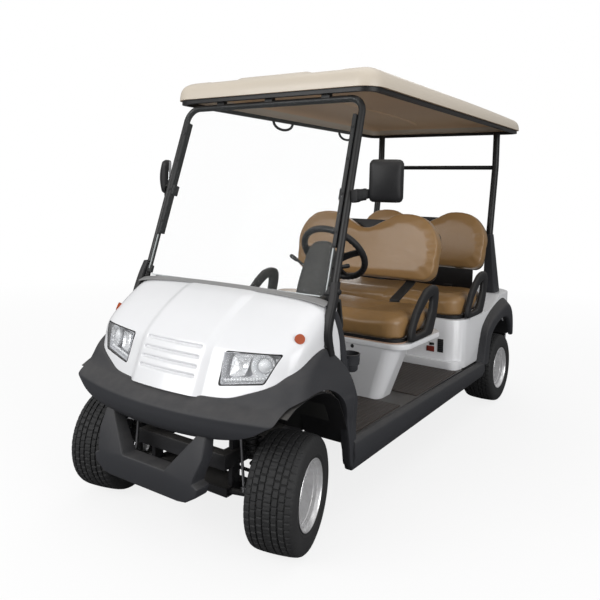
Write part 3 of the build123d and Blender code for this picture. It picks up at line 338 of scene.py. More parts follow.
def ease(table, x):
    """Height of a smooth curve through (x, height) pairs, with no overshoot between them."""
    if x <= table[0][0]:
        return table[0][1]
    if x >= table[-1][0]:
        return table[-1][1]
    slopes = [(b[1] - a[1]) / (b[0] - a[0]) for a, b in zip(table, table[1:])]
    i = max(k for k in range(len(slopes)) if table[k][0] <= x)

    def lean_at(k):
        if k == 0 or k == len(slopes):
            return slopes[min(k, len(slopes) - 1)]
        a, b = slopes[k - 1], slopes[k]
        return 0 if a * b <= 0 else 2 * a * b / (a + b)

    run = table[i + 1][0] - table[i][0]
    t = (x - table[i][0]) / run
    rise = table[i + 1][1] - table[i][1]
    m0, m1 = lean_at(i) * run, lean_at(i + 1) * run
    return table[i][1] + t * m0 + t * t * (3 * rise - 2 * m0 - m1) + t * t * t * (m0 + m1 - 2 * rise)


def level_at(levels, z):
    """Half width, front station, sweep and corner radius of a hull at height z."""
    return [ease([(row[0], row[k]) for row in levels], z) for k in (1, 2, 3, 4)]


def round_hull(level, rear, where):
    """Point (x, station) on the left half of a hull's outline.

    where is ("x", distance) or a place from 0 to 1: along the whole "front", along the front "from"
    the centre panel's edge, round the "corner" or along the "side".
    """
    half, front, swept, corner = level
    slope = atan2(2 * swept, half)
    reach = corner * tan((pi / 2 - slope) / 2)
    arc_end = half - reach * cos(slope)
    side_start = front + swept + reach
    kind, t = where
    if kind == "x":
        return min(t, arc_end), front + swept * (min(t, arc_end) / half) ** 2
    if kind == "front":
        x = t * arc_end
        return x, front + swept * (x / half) ** 2
    if kind == "from":
        x = panel_edge + t * (arc_end - panel_edge)
        return x, front + swept * (x / half) ** 2
    if kind == "corner":
        a = (arc_end, front + swept * (arc_end / half) ** 2)
        b = (half, front + swept)
        c = (half, side_start)
        u = 1 - t
        return tuple(u * u * a[k] + 2 * u * t * b[k] + t * t * c[k] for k in (0, 1))
    return half, side_start + t * (rear - side_start)


def grid_skin(name, rows):
    """A grid primitive whose corners are carried to rows of points, all rows of one length."""
    bpy.ops.mesh.primitive_grid_add(x_subdivisions=len(rows[0]) - 1, y_subdivisions=len(rows) - 1)
    piece = name_piece(name)
    flat = [point for row in rows for point in row]
    for vertex, point in zip(piece.data.vertices, flat):
        vertex.co = point
    piece.location = (0, 0, 0)
    return piece


def pick(piece):
    """Makes a piece the active one and the only one selected."""
    bpy.ops.object.select_all(action="DESELECT")
    piece.select_set(True)
    bpy.context.view_layer.objects.active = piece


def modify(piece, kind, **settings):
    """Gives the active piece a modifier with these settings, and applies it."""
    bpy.ops.object.modifier_add(type=kind)
    for key, value in settings.items():
        setattr(piece.modifiers[-1], key, value)
    bpy.ops.object.modifier_apply(modifier=piece.modifiers[-1].name)


def thicken(piece, wall, smooth_levels=0, angle=50):
    """Rounds a skin by subdivision, gives it its wall on the inside and shades it smooth."""
    pick(piece)
    if smooth_levels:
        modify(piece, "SUBSURF", levels=smooth_levels, render_levels=smooth_levels)
    if wall:
        modify(piece, "SOLIDIFY", thickness=wall, offset=-1)
    bpy.ops.object.shade_smooth_by_angle(angle=radians(angle))
    return piece


def carve(piece, cutter, operation="DIFFERENCE"):
    """Cuts piece by cutter, or keeps what they share, and removes the cutter."""
    pick(piece)
    modify(piece, "BOOLEAN", operation=operation, object=cutter, solver="FAST")
    bpy.data.objects.remove(cutter)


def copy_of(piece, name):
    """A copy with its own mesh, active and selected alone."""
    twin = piece.copy()
    twin.data = piece.data.copy()
    twin.name = name
    twin.data.name = name
    bpy.context.scene.collection.objects.link(twin)
    pick(twin)
    return twin


def settle(piece, body, *coats):
    """Gives a finished piece its materials and the body it rides on, and lets go of it."""
    piece.data.materials.clear()
    for coat in coats:
        piece.data.materials.append(coat.material)
    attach(piece, body)
    bpy.ops.object.select_all(action="DESELECT")


def unit_block(name, cuts=0):
    """A cube one metre wide, its faces cut into a grid, to be carried to its shape."""
    bpy.ops.mesh.primitive_cube_add(size=1)
    block = name_piece(name)
    if cuts:
        bpy.ops.object.mode_set(mode="EDIT")
        bpy.ops.mesh.subdivide(number_cuts=cuts)
        bpy.ops.object.mode_set(mode="OBJECT")
    return block


def round_edges(width, segments, turn_faces=False):
    """Rounds every edge of the active block, its faces turned outwards first where asked."""
    bpy.ops.object.mode_set(mode="EDIT")
    bpy.ops.mesh.select_all(action="SELECT")
    if turn_faces:
        bpy.ops.mesh.normals_make_consistent(inside=False)
    bpy.ops.mesh.bevel(offset=width, segments=segments, affect="EDGES")
    bpy.ops.object.mode_set(mode="OBJECT")


panel_edge = 0.205
panel_rise = 0.018
groove_drop = 0.014
groove_half = 0.005
groove_reach = 0.150
cowl_top = 0.978
# columns: distance from the middle, share of the panel's rise
panel_flank = ((0.160, 1.0), (0.170, 0.93), (0.187, 0.50), (0.200, 0.06), (0.205, 0.0))
# columns: height, half width, front station, sweep back to the corner, corner radius
cowl_levels = (
    (0.600, 0.541, -0.205, 0.098, 0.105),
    (0.690, 0.549, -0.168, 0.084, 0.125),
    (0.785, 0.554, -0.125, 0.062, 0.140),
    (0.853, 0.556, -0.055, 0.058, 0.150),
    (0.905, 0.556, 0.015, 0.060, 0.150),
    (0.940, 0.554, 0.076, 0.062, 0.125),
    (0.958, 0.505, 0.110, 0.052, 0.070),
    (0.970, 0.380, 0.138, 0.026, 0.030),
    (0.977, 0.215, 0.158, 0.008, 0.010),
)
# columns: height, station of the moulding's rear edge
cowl_rear = (
    (0.600, 0.285), (0.690, 0.285), (0.735, 0.275), (0.783, 0.264), (0.838, 0.242), (0.900, 0.208),
    (0.940, 0.185), (0.977, 0.176),
)
louvre_heights = (0.667, 0.702, 0.738, 0.776)
panel_columns = (0.0, 0.045, 0.090, 0.125, 0.143, 0.149, 0.155, 0.161, 0.170, 0.187, 0.199)
cowl_columns = [("x", x) for x in panel_columns]
cowl_columns += [("from", t / 9) for t in range(10)]
cowl_columns += [("corner", t / 7) for t in range(1, 7)]
cowl_columns += [("side", t / 8) for t in range(9)]
cowl_rows = [0.600, 0.625, 0.645]
for z in louvre_heights:
    cowl_rows += [z - 0.0095, z - 0.0055, z - 0.0045, z + 0.0045, z + 0.0055, z + 0.0115]
cowl_rows += [0.803, 0.818, 0.836, 0.853, 0.870, 0.888, 0.905, 0.922, 0.940, 0.950, 0.958, 0.965]
cowl_rows += [0.970, 0.974, 0.977]


def cowl_point(z, where, side):
    """Point on the cowl's outside, raised on the centre panel and lowered in its grooves."""
    level = level_at(cowl_levels, z)
    x, station = round_hull(level, ease(cowl_rear, z), where)
    proud = panel_rise * ease(panel_flank, x) * min(1.0, max(0.25, (0.984 - z) / 0.030))
    if any(abs(z - groove) < groove_half for groove in louvre_heights) and x < groove_reach:
        proud -= groove_drop
    slope = (level_at(cowl_levels, z + 0.002)[1] - level_at(cowl_levels, z - 0.002)[1]) / 0.004
    reach = sqrt(1 + slope * slope)
    return (side * x, axle_y + station - proud / reach, z + proud * slope / reach * 0.6)


cowl_skin_rows = []
for z in cowl_rows:
    left_half = [cowl_point(z, where, 1) for where in cowl_columns]
    right_half = [cowl_point(z, where, -1) for where in reversed(cowl_columns[1:])]
    cowl_skin_rows.append(right_half + left_half)
rear_edge = axle_y + cowl_rear[-1][1]
cowl_skin_rows.append([(x, max(y, rear_edge), cowl_top) for x, y, z in cowl_skin_rows[-1]])
cowl = grid_skin("cowl_skin", cowl_skin_rows)
thicken(cowl, 0.004, 1, 38)
cowl_uncut = copy_of(cowl, "cowl_uncut")

# columns: x, height of the headlamp's corners, as on the left side
lamp_corners = ((0.259, 0.777), (0.499, 0.789), (0.448, 0.678), (0.262, 0.651))
cut_front, cut_rear = -0.30, 0.03
lamp_gap = 0.002
gasket_outset = 0.0018
gasket_inset = 0.0025


def lamp_prism(side, grow):
    """A block with the headlamp's outline, grown by grow, that runs right through the nose."""
    block = unit_block("lamp_prism")
    middle = (sum(c[0] for c in lamp_corners) / 4, sum(c[1] for c in lamp_corners) / 4)
    for vertex in block.data.vertices:
        low, outer = vertex.co.z < 0, vertex.co.x > 0
        corner = lamp_corners[(2 if outer else 3) if low else (1 if outer else 0)]
        x = corner[0] + (grow if corner[0] > middle[0] else -grow)
        z = corner[1] + (grow if corner[1] > middle[1] else -grow)
        vertex.co = (side * x, axle_y + (cut_rear if vertex.co.y > 0 else cut_front), z)
    round_edges(0.012, 4, True)
    return block


for side in (1, -1):
    carve(cowl, lamp_prism(side, lamp_gap))
bpy.ops.object.shade_smooth_by_angle(angle=radians(38))
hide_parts("front_cowl")
settle(cowl, "cart_body", white_panel)

# ---- Bonnet seal ----------------------------------------------------------------------------
# A grey rubber lip closes the gap between the bonnet's rear edge and the foot of the windscreen.
# It is pressed onto the bonnet's edge and curls over it.
seal_grey = moulded("seal_rubber", rgb(0.25, 0.25, 0.25), 0.34, 500, 0.0001, dust=0.08)
# columns: distance from the middle, height of the lip's front edge and of its rear edge
seal_line = (
    (0.0, 0.9805, 0.989), (0.150, 0.9795, 0.989), (0.200, 0.977, 0.988), (0.330, 0.974, 0.986),
    (0.420, 0.969, 0.983), (0.505, 0.960, 0.977), (0.545, 0.950, 0.966),
)
seal_rows = []
for share, station in ((0.0, 0.148), (0.12, 0.150), (0.6, 0.170), (1.0, 0.186), (0.8, 0.192)):
    half_row = [(x, axle_y + station, low + (high - low) * share) for x, low, high in seal_line]
    seal_rows.append([(-x, y, z) for x, y, z in reversed(half_row[1:])] + half_row)
seal = grid_skin("bonnet_seal", seal_rows)
thicken(seal, 0.004, 1, 60)
settle(seal, "cart_body", seal_grey)

# ---- Headlamps ------------------------------------------------------------------------------
# Each is a bright tray under a clear lens that follows the cowl: a projector in a round bowl at
# the outer end, a square reflector beside it, and a row of small domes along the lower edge.
lens_coat = Coat("clear_lens")
glance = lens_coat.node("ShaderNodeLayerWeight", {}, {"Blend": 0.35}, "Facing")
flute = lens_coat.noise(24, 2)
lens_coat.set(
    Base_Color=rgb(0.95, 0.96, 0.97),
    Roughness=0.02 + flute * 0.03,
    Alpha=0.05 + (glance ** 3.0) * 0.35,
)
chrome = Coat("lamp_chrome")
ripple = chrome.noise(90, 2)
chrome.set(
    Base_Color=chrome.mix(ripple, rgb(0.82, 0.83, 0.85), rgb(0.95, 0.96, 0.97)),
    Metallic=0.60,
    Roughness=0.20 + ripple * 0.12,
    Normal=chrome.bump(ripple, 0.0006),
)
lamp_bezel = moulded("lamp_bezel", rgb(0.62, 0.63, 0.66), 0.26, 600, 0.0001, dust=0.04, metal=0.25)
dome_white = moulded("dome_white", rgb(0.80, 0.82, 0.84), 0.18, 300, 0.0001, dust=0.0, lacquer=0.8)
lenses = []
for side, mark in ((1, "left"), (-1, "right")):
    lens = copy_of(cowl_uncut, "headlamp_lens_" + mark)
    carve(lens, lamp_prism(side, -gasket_inset), "INTERSECT")
    bpy.ops.object.shade_smooth_by_angle(angle=radians(40))
    lenses.append(lens)
    gasket = copy_of(cowl_uncut, "headlamp_gasket_" + mark)
    carve(gasket, lamp_prism(side, gasket_outset), "INTERSECT")
    carve(gasket, lamp_prism(side, -gasket_inset))
    settle(gasket, "cart_body", black_plastic)
bpy.data.objects.remove(cowl_uncut)

# columns: x, station, height of the tray's mouth corners, just behind the lens
tray_mouth = (
    (0.262, -0.128, 0.774), (0.495, -0.050, 0.786), (0.446, -0.104, 0.681), (0.265, -0.156, 0.654),
)
tray_depth = 0.050


def tray_place(u, v, deep):
    """Point in the left tray: u from its inner to outer end, v from bottom to top, deep back."""
    inner_top, outer_top, outer_low, inner_low = [Vector(c) for c in tray_mouth]
    top = inner_top.lerp(outer_top, u)
    low = inner_low.lerp(outer_low, u)
    spot = low.lerp(top, v)
    return Vector((spot.x, axle_y + spot.y + deep, spot.z))


def join_pieces(parts, name):
    """Joins finished parts into one piece."""
    bpy.ops.object.select_all(action="DESELECT")
    for part in parts:
        part.select_set(True)
    bpy.context.view_layer.objects.active = parts[0]
    bpy.ops.object.join()
    return name_piece(name)


def weld(threshold, inside=False):
    """Merges the active piece's doubled points and turns its faces outwards, or inwards."""
    bpy.ops.object.mode_set(mode="EDIT")
    bpy.ops.mesh.select_all(action="SELECT")
    bpy.ops.mesh.remove_doubles(threshold=threshold)
    bpy.ops.mesh.normals_make_consistent(inside=inside)
    bpy.ops.object.mode_set(mode="OBJECT")


def mirrored(piece, name):
    """A copy on the other side of the cart, with its faces turned the right way out."""
    twin = copy_of(piece, name)
    for vertex in twin.data.vertices:
        vertex.co.x = -vertex.co.x
    bpy.ops.object.mode_set(mode="EDIT")
    bpy.ops.mesh.select_all(action="SELECT")
    bpy.ops.mesh.flip_normals()
    bpy.ops.object.mode_set(mode="OBJECT")
    return twin


def settle_pair(piece, coat):
    """Settles a left-hand piece and its mirror image on the cart's body."""
    settle(mirrored(piece, piece.name.replace("left", "right")), "cart_body", coat)
    settle(piece, "cart_body", coat)


def turned(name, profile, centre, axis, segments):
    """A turned form: a ring extruded along its axis through (height, radius) pairs."""
    bpy.ops.mesh.primitive_circle_add(vertices=segments, radius=1.0, fill_type="NOTHING")
    piece = name_piece(name)
    for vertex in piece.data.vertices:
        vertex.co = (vertex.co.x * profile[0][1], vertex.co.y * profile[0][1], profile[0][0])
    bpy.ops.object.mode_set(mode="EDIT")
    bpy.ops.mesh.select_all(action="SELECT")
    for (z0, r0), (z1, r1) in zip(profile, profile[1:]):
        bpy.ops.mesh.extrude_edges_move(TRANSFORM_OT_translate={"value": (0, 0, z1 - z0)})
        bpy.ops.transform.resize(value=(r1 / r0, r1 / r0, 1), center_override=(0, 0, z1))
    bpy.ops.mesh.select_all(action="SELECT")
    bpy.ops.mesh.normals_make_consistent(inside=False)
    bpy.ops.object.mode_set(mode="OBJECT")
    spin = Vector(axis).normalized().to_track_quat("Z", "Y").to_matrix().to_4x4()
    piece.data.transform(Matrix.Translation(Vector(centre)) @ spin)
    bpy.ops.object.shade_smooth_by_angle(angle=radians(40))
    return piece


forward = Vector((0.30, -1.0, 0.10)).normalized()
lamp_parts = []
dome_parts = []

# The tray: a plate pushed back from the mouth, its walls stepped.
tray_ring = ((0, 0), (0.5, 0), (1, 0), (1, 0.5), (1, 1), (0.5, 1), (0, 1), (0, 0.5), (0, 0))
rows = []
# columns: depth, share by which the walls draw in
for deep, pull in ((0.0, 0.0), (0.012, 0.02), (0.030, 0.05), (tray_depth, 0.09)):
    spots = [(u + pull * (0.5 - u), v + 2 * pull * (0.5 - v)) for u, v in tray_ring]
    rows.append([tray_place(u, v, deep) for u, v in spots])
rows.append([tray_place(0.5, 0.5, tray_depth)] * len(tray_ring))
lamp_tray = grid_skin("headlamp_tray_left", rows)
weld(0.00005, True)
thicken(lamp_tray, 0.0015, 0, 30)

# The projector's bowl and its glass, the square reflector with its ring, and the small domes.
bowl_centre = tray_place(0.72, 0.54, 0.034)
cup_u, cup_v = 0.30, 0.56
bowl = (
    (0.012, 0.012), (0.004, 0.020), (0.004, 0.030), (0.018, 0.040), (0.030, 0.046), (0.031, 0.050),
    (0.020, 0.050),
)
lamp_parts.append(turned("bowl", bowl, bowl_centre, forward, 40))
eyeglass = ((0.006, 0.027), (0.016, 0.026), (0.024, 0.020), (0.029, 0.011), (0.030, 0.001))
dome_parts.append(turned("projector", eyeglass, bowl_centre, forward, 32))
cup_ring = (
    (-1, -1), (0, -1.06), (1, -1), (1.06, 0), (1, 1), (0, 1.06), (-1, 1), (-1.06, 0), (-1, -1),
)
cup_rows = []
# columns: depth, size of the reflector there
for deep, size in ((-0.002, 1.0), (0.010, 0.86), (0.024, 0.60), (0.030, 0.30)):
    spots = [(cup_u + 0.155 * a * size, cup_v + 0.30 * b * size) for a, b in cup_ring]
    cup_rows.append([tray_place(u, v, 0.012 + deep) for u, v in spots])
cup_rows.append([tray_place(cup_u, cup_v, 0.042)] * len(cup_ring))
cup = grid_skin("cup", cup_rows)
weld(0.00005, True)
thicken(cup, 0.0012, 0, 35)
lamp_parts.append(cup)
bulb_ring = ((0, 0.013), (0.006, 0.013), (0.006, 0.010), (0, 0.010))
lamp_parts.append(turned("bulb_ring", bulb_ring, tray_place(cup_u, cup_v, 0.034), forward, 24))
dome = ((0.0, 0.0062), (0.002, 0.006), (0.0045, 0.004), (0.0055, 0.001))
socket = ((0.0, 0.0078), (0.002, 0.0078), (0.002, 0.0066), (0.0, 0.0066))
dome_seats = [(0.07 + step * 0.068, 0.12) for step in range(13)]
dome_seats += [(0.93, 0.26 + step * 0.17) for step in range(4)]
for u, v in dome_seats:
    seat = tray_place(u, v, 0.010)
    dome_parts.append(turned("dome", dome, seat, forward, 12))
    lamp_parts.append(turned("socket", socket, seat, forward, 14))

lamp_bowl = join_pieces(lamp_parts, "headlamp_bowls_left")
lamp_domes = join_pieces(dome_parts, "headlamp_domes_left")
for piece, coat in ((lamp_bowl, chrome), (lamp_tray, lamp_bezel), (lamp_domes, dome_white)):
    settle_pair(piece, coat)
for lens in lenses:
    settle(lens, "cart_body", lens_coat)
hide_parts("headlights")

# ---- Front fenders --------------------------------------------------------------------------
# One charcoal moulding runs round the nose and over both front wheels, down to the rockers. Its
# middle bulges to a soft crease, and its lower edge is turned in.
fender_levels = (
    (0.456, 0.588, -0.256, 0.112, 0.120),
    (0.490, 0.600, -0.281, 0.114, 0.120),
    (0.530, 0.606, -0.290, 0.115, 0.120),
    (0.556, 0.606, -0.290, 0.112, 0.120),
    (0.575, 0.603, -0.268, 0.100, 0.120),
    (0.603, 0.600, -0.208, 0.080, 0.120),
    (0.690, 0.582, -0.145, 0.060, 0.120),
    (0.800, 0.561, 0.010, 0.050, 0.120),
)
# columns: station, height of the moulding's lower and upper edges along the side
arch_edge = (
    (-0.280, 0.456), (-0.250, 0.460), (-0.222, 0.500), (-0.205, 0.545), (-0.160, 0.592),
    (-0.110, 0.615), (-0.060, 0.628), (0.043, 0.637), (0.100, 0.633), (0.155, 0.614),
    (0.220, 0.566), (0.270, 0.470), (0.296, 0.400), (0.316, 0.300), (0.326, 0.238), (0.370, 0.238),
)
top_edge = (
    (-0.215, 0.602), (-0.185, 0.608), (-0.148, 0.640), (-0.100, 0.692), (-0.025, 0.746),
    (0.060, 0.772), (0.130, 0.784), (0.152, 0.782), (0.188, 0.760), (0.239, 0.719), (0.290, 0.664),
    (0.316, 0.604), (0.338, 0.535), (0.357, 0.443), (0.366, 0.340),
)
fender_rear = 0.366
fender_columns = [("front", t / 18) for t in range(19)]
fender_columns += [("corner", t / 16) for t in range(1, 16)]
fender_columns += [("side", t / 40) for t in range(41)]


def fender_height(share, low, high):
    """Height at a share of the moulding, with rows kept along the bulge and the shelf over it."""
    tall = high - low
    bulge = min(max(0.548, low + 0.12 * tall), low + 0.65 * tall)
    shelf = min(max(0.602, bulge + 0.20 * tall), high - 0.08 * tall)
    return ease(((0.0, low), (0.35, bulge), (0.65, shelf), (1.0, high)), share)


def fender_point(share, where, side, pull=0.0, lift=0.0):
    """Point at a share of the height between the lower and upper edges, pulled inwards.

    The edges' heights depend on the station and the station on the height, so both are settled by
    a few rounds, from the edges' heights at the nose.
    """
    low, high = arch_edge[0][1], top_edge[0][1]
    for _ in range(12):
        z = fender_height(share, low, high)
        x, station = round_hull(level_at(fender_levels, z), fender_rear, where)
        low = (low + min(ease(arch_edge, station), high - 0.02)) / 2
        high = (high + ease(top_edge, station)) / 2
    level = level_at(fender_levels, z)
    x, station = round_hull(level, fender_rear, where)
    x0, s0 = round_hull(level, fender_rear, (where[0], max(where[1] - 0.02, 0)))
    x1, s1 = round_hull(level, fender_rear, (where[0], min(where[1] + 0.02, 1)))
    run = Vector((x1 - x0, s1 - s0, 0)).normalized()
    return (side * max(x - run.y * pull, 0.0), axle_y + station + run.x * pull, z + lift)


fender_skin_rows = []
# columns: share of the height, distance turned in, lift
shares = [(0.0, 0.040, 0.004), (0.0, 0.016, -0.002)]
shares += [(t / 30, 0.0, 0.0) for t in range(31)]
shares += [(1.0, 0.010, 0.002)]
for share, pull, lift in shares:
    left_half = [fender_point(share, where, 1, pull, lift) for where in fender_columns]
    right_half = [fender_point(share, where, -1, pull, lift) for where in reversed(fender_columns[1:])]
    fender_skin_rows.append(right_half + left_half)
fender = grid_skin("fender_skin", fender_skin_rows)
thicken(fender, 0.004, 1, 50)
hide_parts("front_fenders")
settle(fender, "cart_body", charcoal)

# ---- Wheel-well liners ----------------------------------------------------------------------
# Thin black sheets close the front wheel wells: an arch over each tyre, which runs down behind
# it, and an upper inner wall, all clear of the wheel at full lock.
liner_arch = (
    (-0.150, 0.585), (-0.100, 0.610), (-0.030, 0.626), (0.040, 0.632), (0.100, 0.626), (0.150, 0.610),
    (0.213, 0.566), (0.265, 0.478), (0.300, 0.400), (0.322, 0.345),
)
liner_coat = moulded("liner_sheet", rgb(0.008, 0.008, 0.009), 0.60, 300, 0.0003, dust=0.20)
liner_gap = 0.006
liner_inner = 0.350
wall_foot = 0.480
arch_rows = []
for x in (liner_inner, 0.420, 0.500, 0.560, 0.584):
    arch_rows.append([(x, axle_y + s, z - liner_gap) for s, z in liner_arch])
wall_rows = []
for drop in (0.0, 0.05, 0.16):
    heights = [(s, max(z - liner_gap - drop, wall_foot)) for s, z in liner_arch[:8]]
    wall_rows.append([(liner_inner, axle_y + s, z) for s, z in heights])
for name, rows in (("wheel_liner_left", arch_rows), ("well_wall_left", wall_rows)):
    liner = grid_skin(name, rows)
    thicken(liner, 0.003, 0, 40)
    settle_pair(liner, liner_coat)

# ---- Tyres ----------------------------------------------------------------------------------
# Road tyres, 460 mm across: five rows of small blocks between round grooves, cross cuts between
# the blocks, ribbed shoulders and a plain sidewall with fine rings.
tyre_rubber = Coat("tyre_rubber")
dusty = tyre_rubber.noise(11, 4, 0.65)
speck = tyre_rubber.noise(700, 2)
tyre_rubber.set(
    Base_Color=tyre_rubber.mix(dusty, rgb(0.008, 0.0082, 0.009), rgb(0.019, 0.019, 0.0195)),
    Roughness=0.62 + dusty * 0.2,
    Normal=tyre_rubber.bump(speck, 0.0003),
)
tyre_steps = 288
tread_pitch = 6
# columns: distance from the middle, radius, tread row (-1 is a groove, 0 the plain sidewall)
tread_half = (
    (0.000, 0.2300, 1), (0.013, 0.2299, 1), (0.0145, 0.2240, -1), (0.0185, 0.2240, -1),
    (0.020, 0.2297, 2), (0.038, 0.2292, 2), (0.0395, 0.2232, -1), (0.0445, 0.2230, -1),
    (0.046, 0.2288, 3), (0.064, 0.2276, 3), (0.0655, 0.2230, -1), (0.069, 0.2226, -1),
    (0.0705, 0.2268, 4), (0.082, 0.2246, 4), (0.090, 0.2212, 5), (0.096, 0.2150, 5),
    (0.0985, 0.2080, 5), (0.1000, 0.2040, 0), (0.1018, 0.1920, 0), (0.1025, 0.1800, 0),
    (0.1012, 0.1660, 0), (0.0990, 0.1560, 0), (0.0996, 0.1530, 0), (0.0965, 0.1480, 0),
    (0.0920, 0.1400, 0), (0.0885, 0.1365, 0), (0.0880, 0.1300, 0),
)
block_cut = {1: 0.0045, 2: 0.0045, 3: 0.0045, 4: 0.0040, 5: 0.0022}


def tyre_mesh(name, box_name, heading):
    """A tyre round the axle that runs along heading, at the middle of the CAD tyre's box."""
    low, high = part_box(box_name)
    centre = (low + high) / 2
    profile = [(-w, r, row) for w, r, row in reversed(tread_half[1:])] + list(tread_half)
    across = Vector(heading).normalized()
    forward = across.cross(Vector((0, 0, 1)))
    rows = []
    for step in range(tyre_steps + 1):
        angle = 2 * pi * (step % tyre_steps) / tyre_steps
        ring = []
        for width, radius, row in profile:
            if row > 0:
                stagger = (row * 2 + (3 if width < 0 else 0)) % tread_pitch
                if (step + stagger) % tread_pitch == 0:
                    radius = radius - block_cut[row]
            spoke = forward * cos(angle) + Vector((0, 0, 1)) * sin(angle)
            ring.append(centre + across * width + spoke * radius)
        rows.append(ring)
    piece = grid_skin(name, rows)
    weld(0.00002)
    bpy.ops.object.shade_smooth_by_angle(angle=radians(28))
    return piece


# ---- Rims -----------------------------------------------------------------------------------
# Polished cast alloy: a deep barrel with stepped lips, five broad spokes set well back, and a
# black cap and four nuts at the hub.
alloy = Coat("polished_alloy")
brush = alloy.noise(30, 3, 0.6)
grime = alloy.noise(45, 4, 0.7)
alloy.set(
    Base_Color=alloy.mix(grime ** 3.0, rgb(0.84, 0.84, 0.85), rgb(0.50, 0.48, 0.46)),
    Metallic=0.70,
    Roughness=0.26 + brush * 0.16,
    Normal=alloy.bump(alloy.noise(400), 0.00008),
)
hub_black = moulded("hub_black", rgb(0.016, 0.016, 0.017), 0.4, 700, 0.0002)
nut_steel = moulded("nut_steel", rgb(0.45, 0.45, 0.46), 0.3, 500, 0.0001, metal=1.0)
barrel = (
    (0.0935, 0.1365), (0.0950, 0.1385), (0.0962, 0.1375), (0.0960, 0.1340), (0.0930, 0.1310),
    (0.0880, 0.1295), (0.0800, 0.1270), (0.0780, 0.1225), (0.0640, 0.1215), (0.0620, 0.1185),
    (0.0300, 0.1165), (0.0050, 0.1150), (-0.0120, 0.1148), (-0.0260, 0.1148), (-0.0420, 0.1175),
    (-0.0800, 0.1230), (-0.0930, 0.1330), (-0.0950, 0.1375), (-0.0920, 0.1375), (-0.0850, 0.1290),
)
hub_face = (
    (-0.024, 0.046), (-0.006, 0.046), (0.000, 0.043), (0.002, 0.036), (0.002, 0.030), (-0.0005, 0.029),
    (-0.0005, 0.001),
)
cap_face = ((0.000, 0.0285), (0.006, 0.0285), (0.010, 0.025), (0.012, 0.015), (0.013, 0.001))
nut_face = ((0.000, 0.0075), (0.010, 0.0075), (0.012, 0.006), (0.012, 0.001))
spoke_count, spoke_root, spoke_reach = 5, 0.036, 0.082
nut_count, nut_circle, nut_turn = 4, 0.0365, 0.3


def rim_pieces(mark, box_name, heading):
    """The rim, its cap and nuts, for the wheel whose axle runs outwards along heading."""
    low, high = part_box(box_name)
    centre = (low + high) / 2
    out = Vector(heading).normalized()
    up = Vector((0, 0, 1))
    ahead = out.cross(up)
    metal = [
        turned("barrel", barrel, centre, out, 72),
        turned("hub", hub_face, centre, out, 40),
    ]
    for spoke in range(spoke_count):
        angle = 2 * pi * spoke / spoke_count + pi / 2
        along = ahead * cos(angle) + up * sin(angle)
        aside = out.cross(along)
        arm = unit_block("spoke", 3)
        for vertex in arm.data.vertices:
            far, wide, deep = vertex.co.x + 0.5, vertex.co.y, vertex.co.z
            radius = spoke_root + far * spoke_reach
            half = 0.020 + 0.012 * far * far + 0.006 * (1 - far) ** 2
            rise = (-0.016 * far + 0.010 * far * far) if deep > 0 else -0.024
            rise -= 0.004 * (2 * wide) ** 2 if deep > 0.3 else 0
            vertex.co = centre + along * radius + aside * (wide * 2 * half) + out * rise
        modify(arm, "BEVEL", width=0.003, segments=2)
        bpy.ops.object.shade_smooth_by_angle(angle=radians(40))
        metal.append(arm)
    rim = join_pieces(metal, "rim_" + mark)
    nuts = []
    for nut in range(nut_count):
        angle = 2 * pi * nut / nut_count + nut_turn
        spot = centre + (ahead * cos(angle) + up * sin(angle)) * nut_circle
        nuts.append(turned("nut", nut_face, spot, out, 6))
    bolts = join_pieces(nuts, "wheel_nuts_" + mark)
    cap = turned("hub_cap_" + mark, cap_face, centre, out, 32)
    return rim, bolts, cap


steer = radians(14)
# columns: wheel, direction of its axle outwards
for mark, heading in (
    ("front_left", (cos(steer), sin(steer), 0)),
    ("front_right", (-cos(steer), -sin(steer), 0)),
    ("rear_left", (1, 0, 0)),
    ("rear_right", (-1, 0, 0)),
):
    tyre = tyre_mesh("tread_" + mark, "tyre_" + mark, heading)
    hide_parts("tyre_" + mark)
    settle(tyre, "wheel_" + mark, tyre_rubber)
    rim, bolts, cap = rim_pieces(mark, "rim_" + mark, heading)
    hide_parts("rim_" + mark)
    settle(rim, "wheel_" + mark, alloy)
    settle(bolts, "wheel_" + mark, nut_steel)
    settle(cap, "wheel_" + mark, hub_black)

# ---- Seats ----------------------------------------------------------------------------------
# Two benches of tan vinyl over foam. Each pad is cut from its block, puffed by cloth pressure,
# and smoothed; the backrests have two humps.
vinyl = Coat("tan_vinyl")
tone = vinyl.noise(4.5, 3)
worn = vinyl.noise(22, 5, 0.7)
grain = vinyl.node(
    "ShaderNodeTexVoronoi",
    {"feature": "DISTANCE_TO_EDGE"},
    {"Vector": vinyl.place, "Scale": 420.0},
)
leather = vinyl.ramp(grain, (0.0, 0.0), (0.12, 1.0))
crease = vinyl.noise(9, 3, 0.55, vinyl.stretch(0.5, 1.6, 1.0))
vinyl.set(
    Base_Color=vinyl.mix(tone * 0.7 + worn * 0.3, rgb(0.235, 0.132, 0.047), rgb(0.325, 0.192, 0.083)),
    Roughness=0.27 + worn * 0.14,
    Coat_Weight=0.16,
    Specular_IOR_Level=0.40,
    Coat_Roughness=0.18,
    Normal=vinyl.bump(leather, 0.00010, vinyl.bump(crease, 0.0035)),
)
puff_frames = 20
row_pitch = 0.828


def node_copy(node, name):
    """A copy of a CAD node that stands by itself, without the node's parent or marks."""
    piece = copy_of(nodes[node], name)
    piece.parent = None
    for key in list(piece.keys()):
        del piece[key]
    return piece


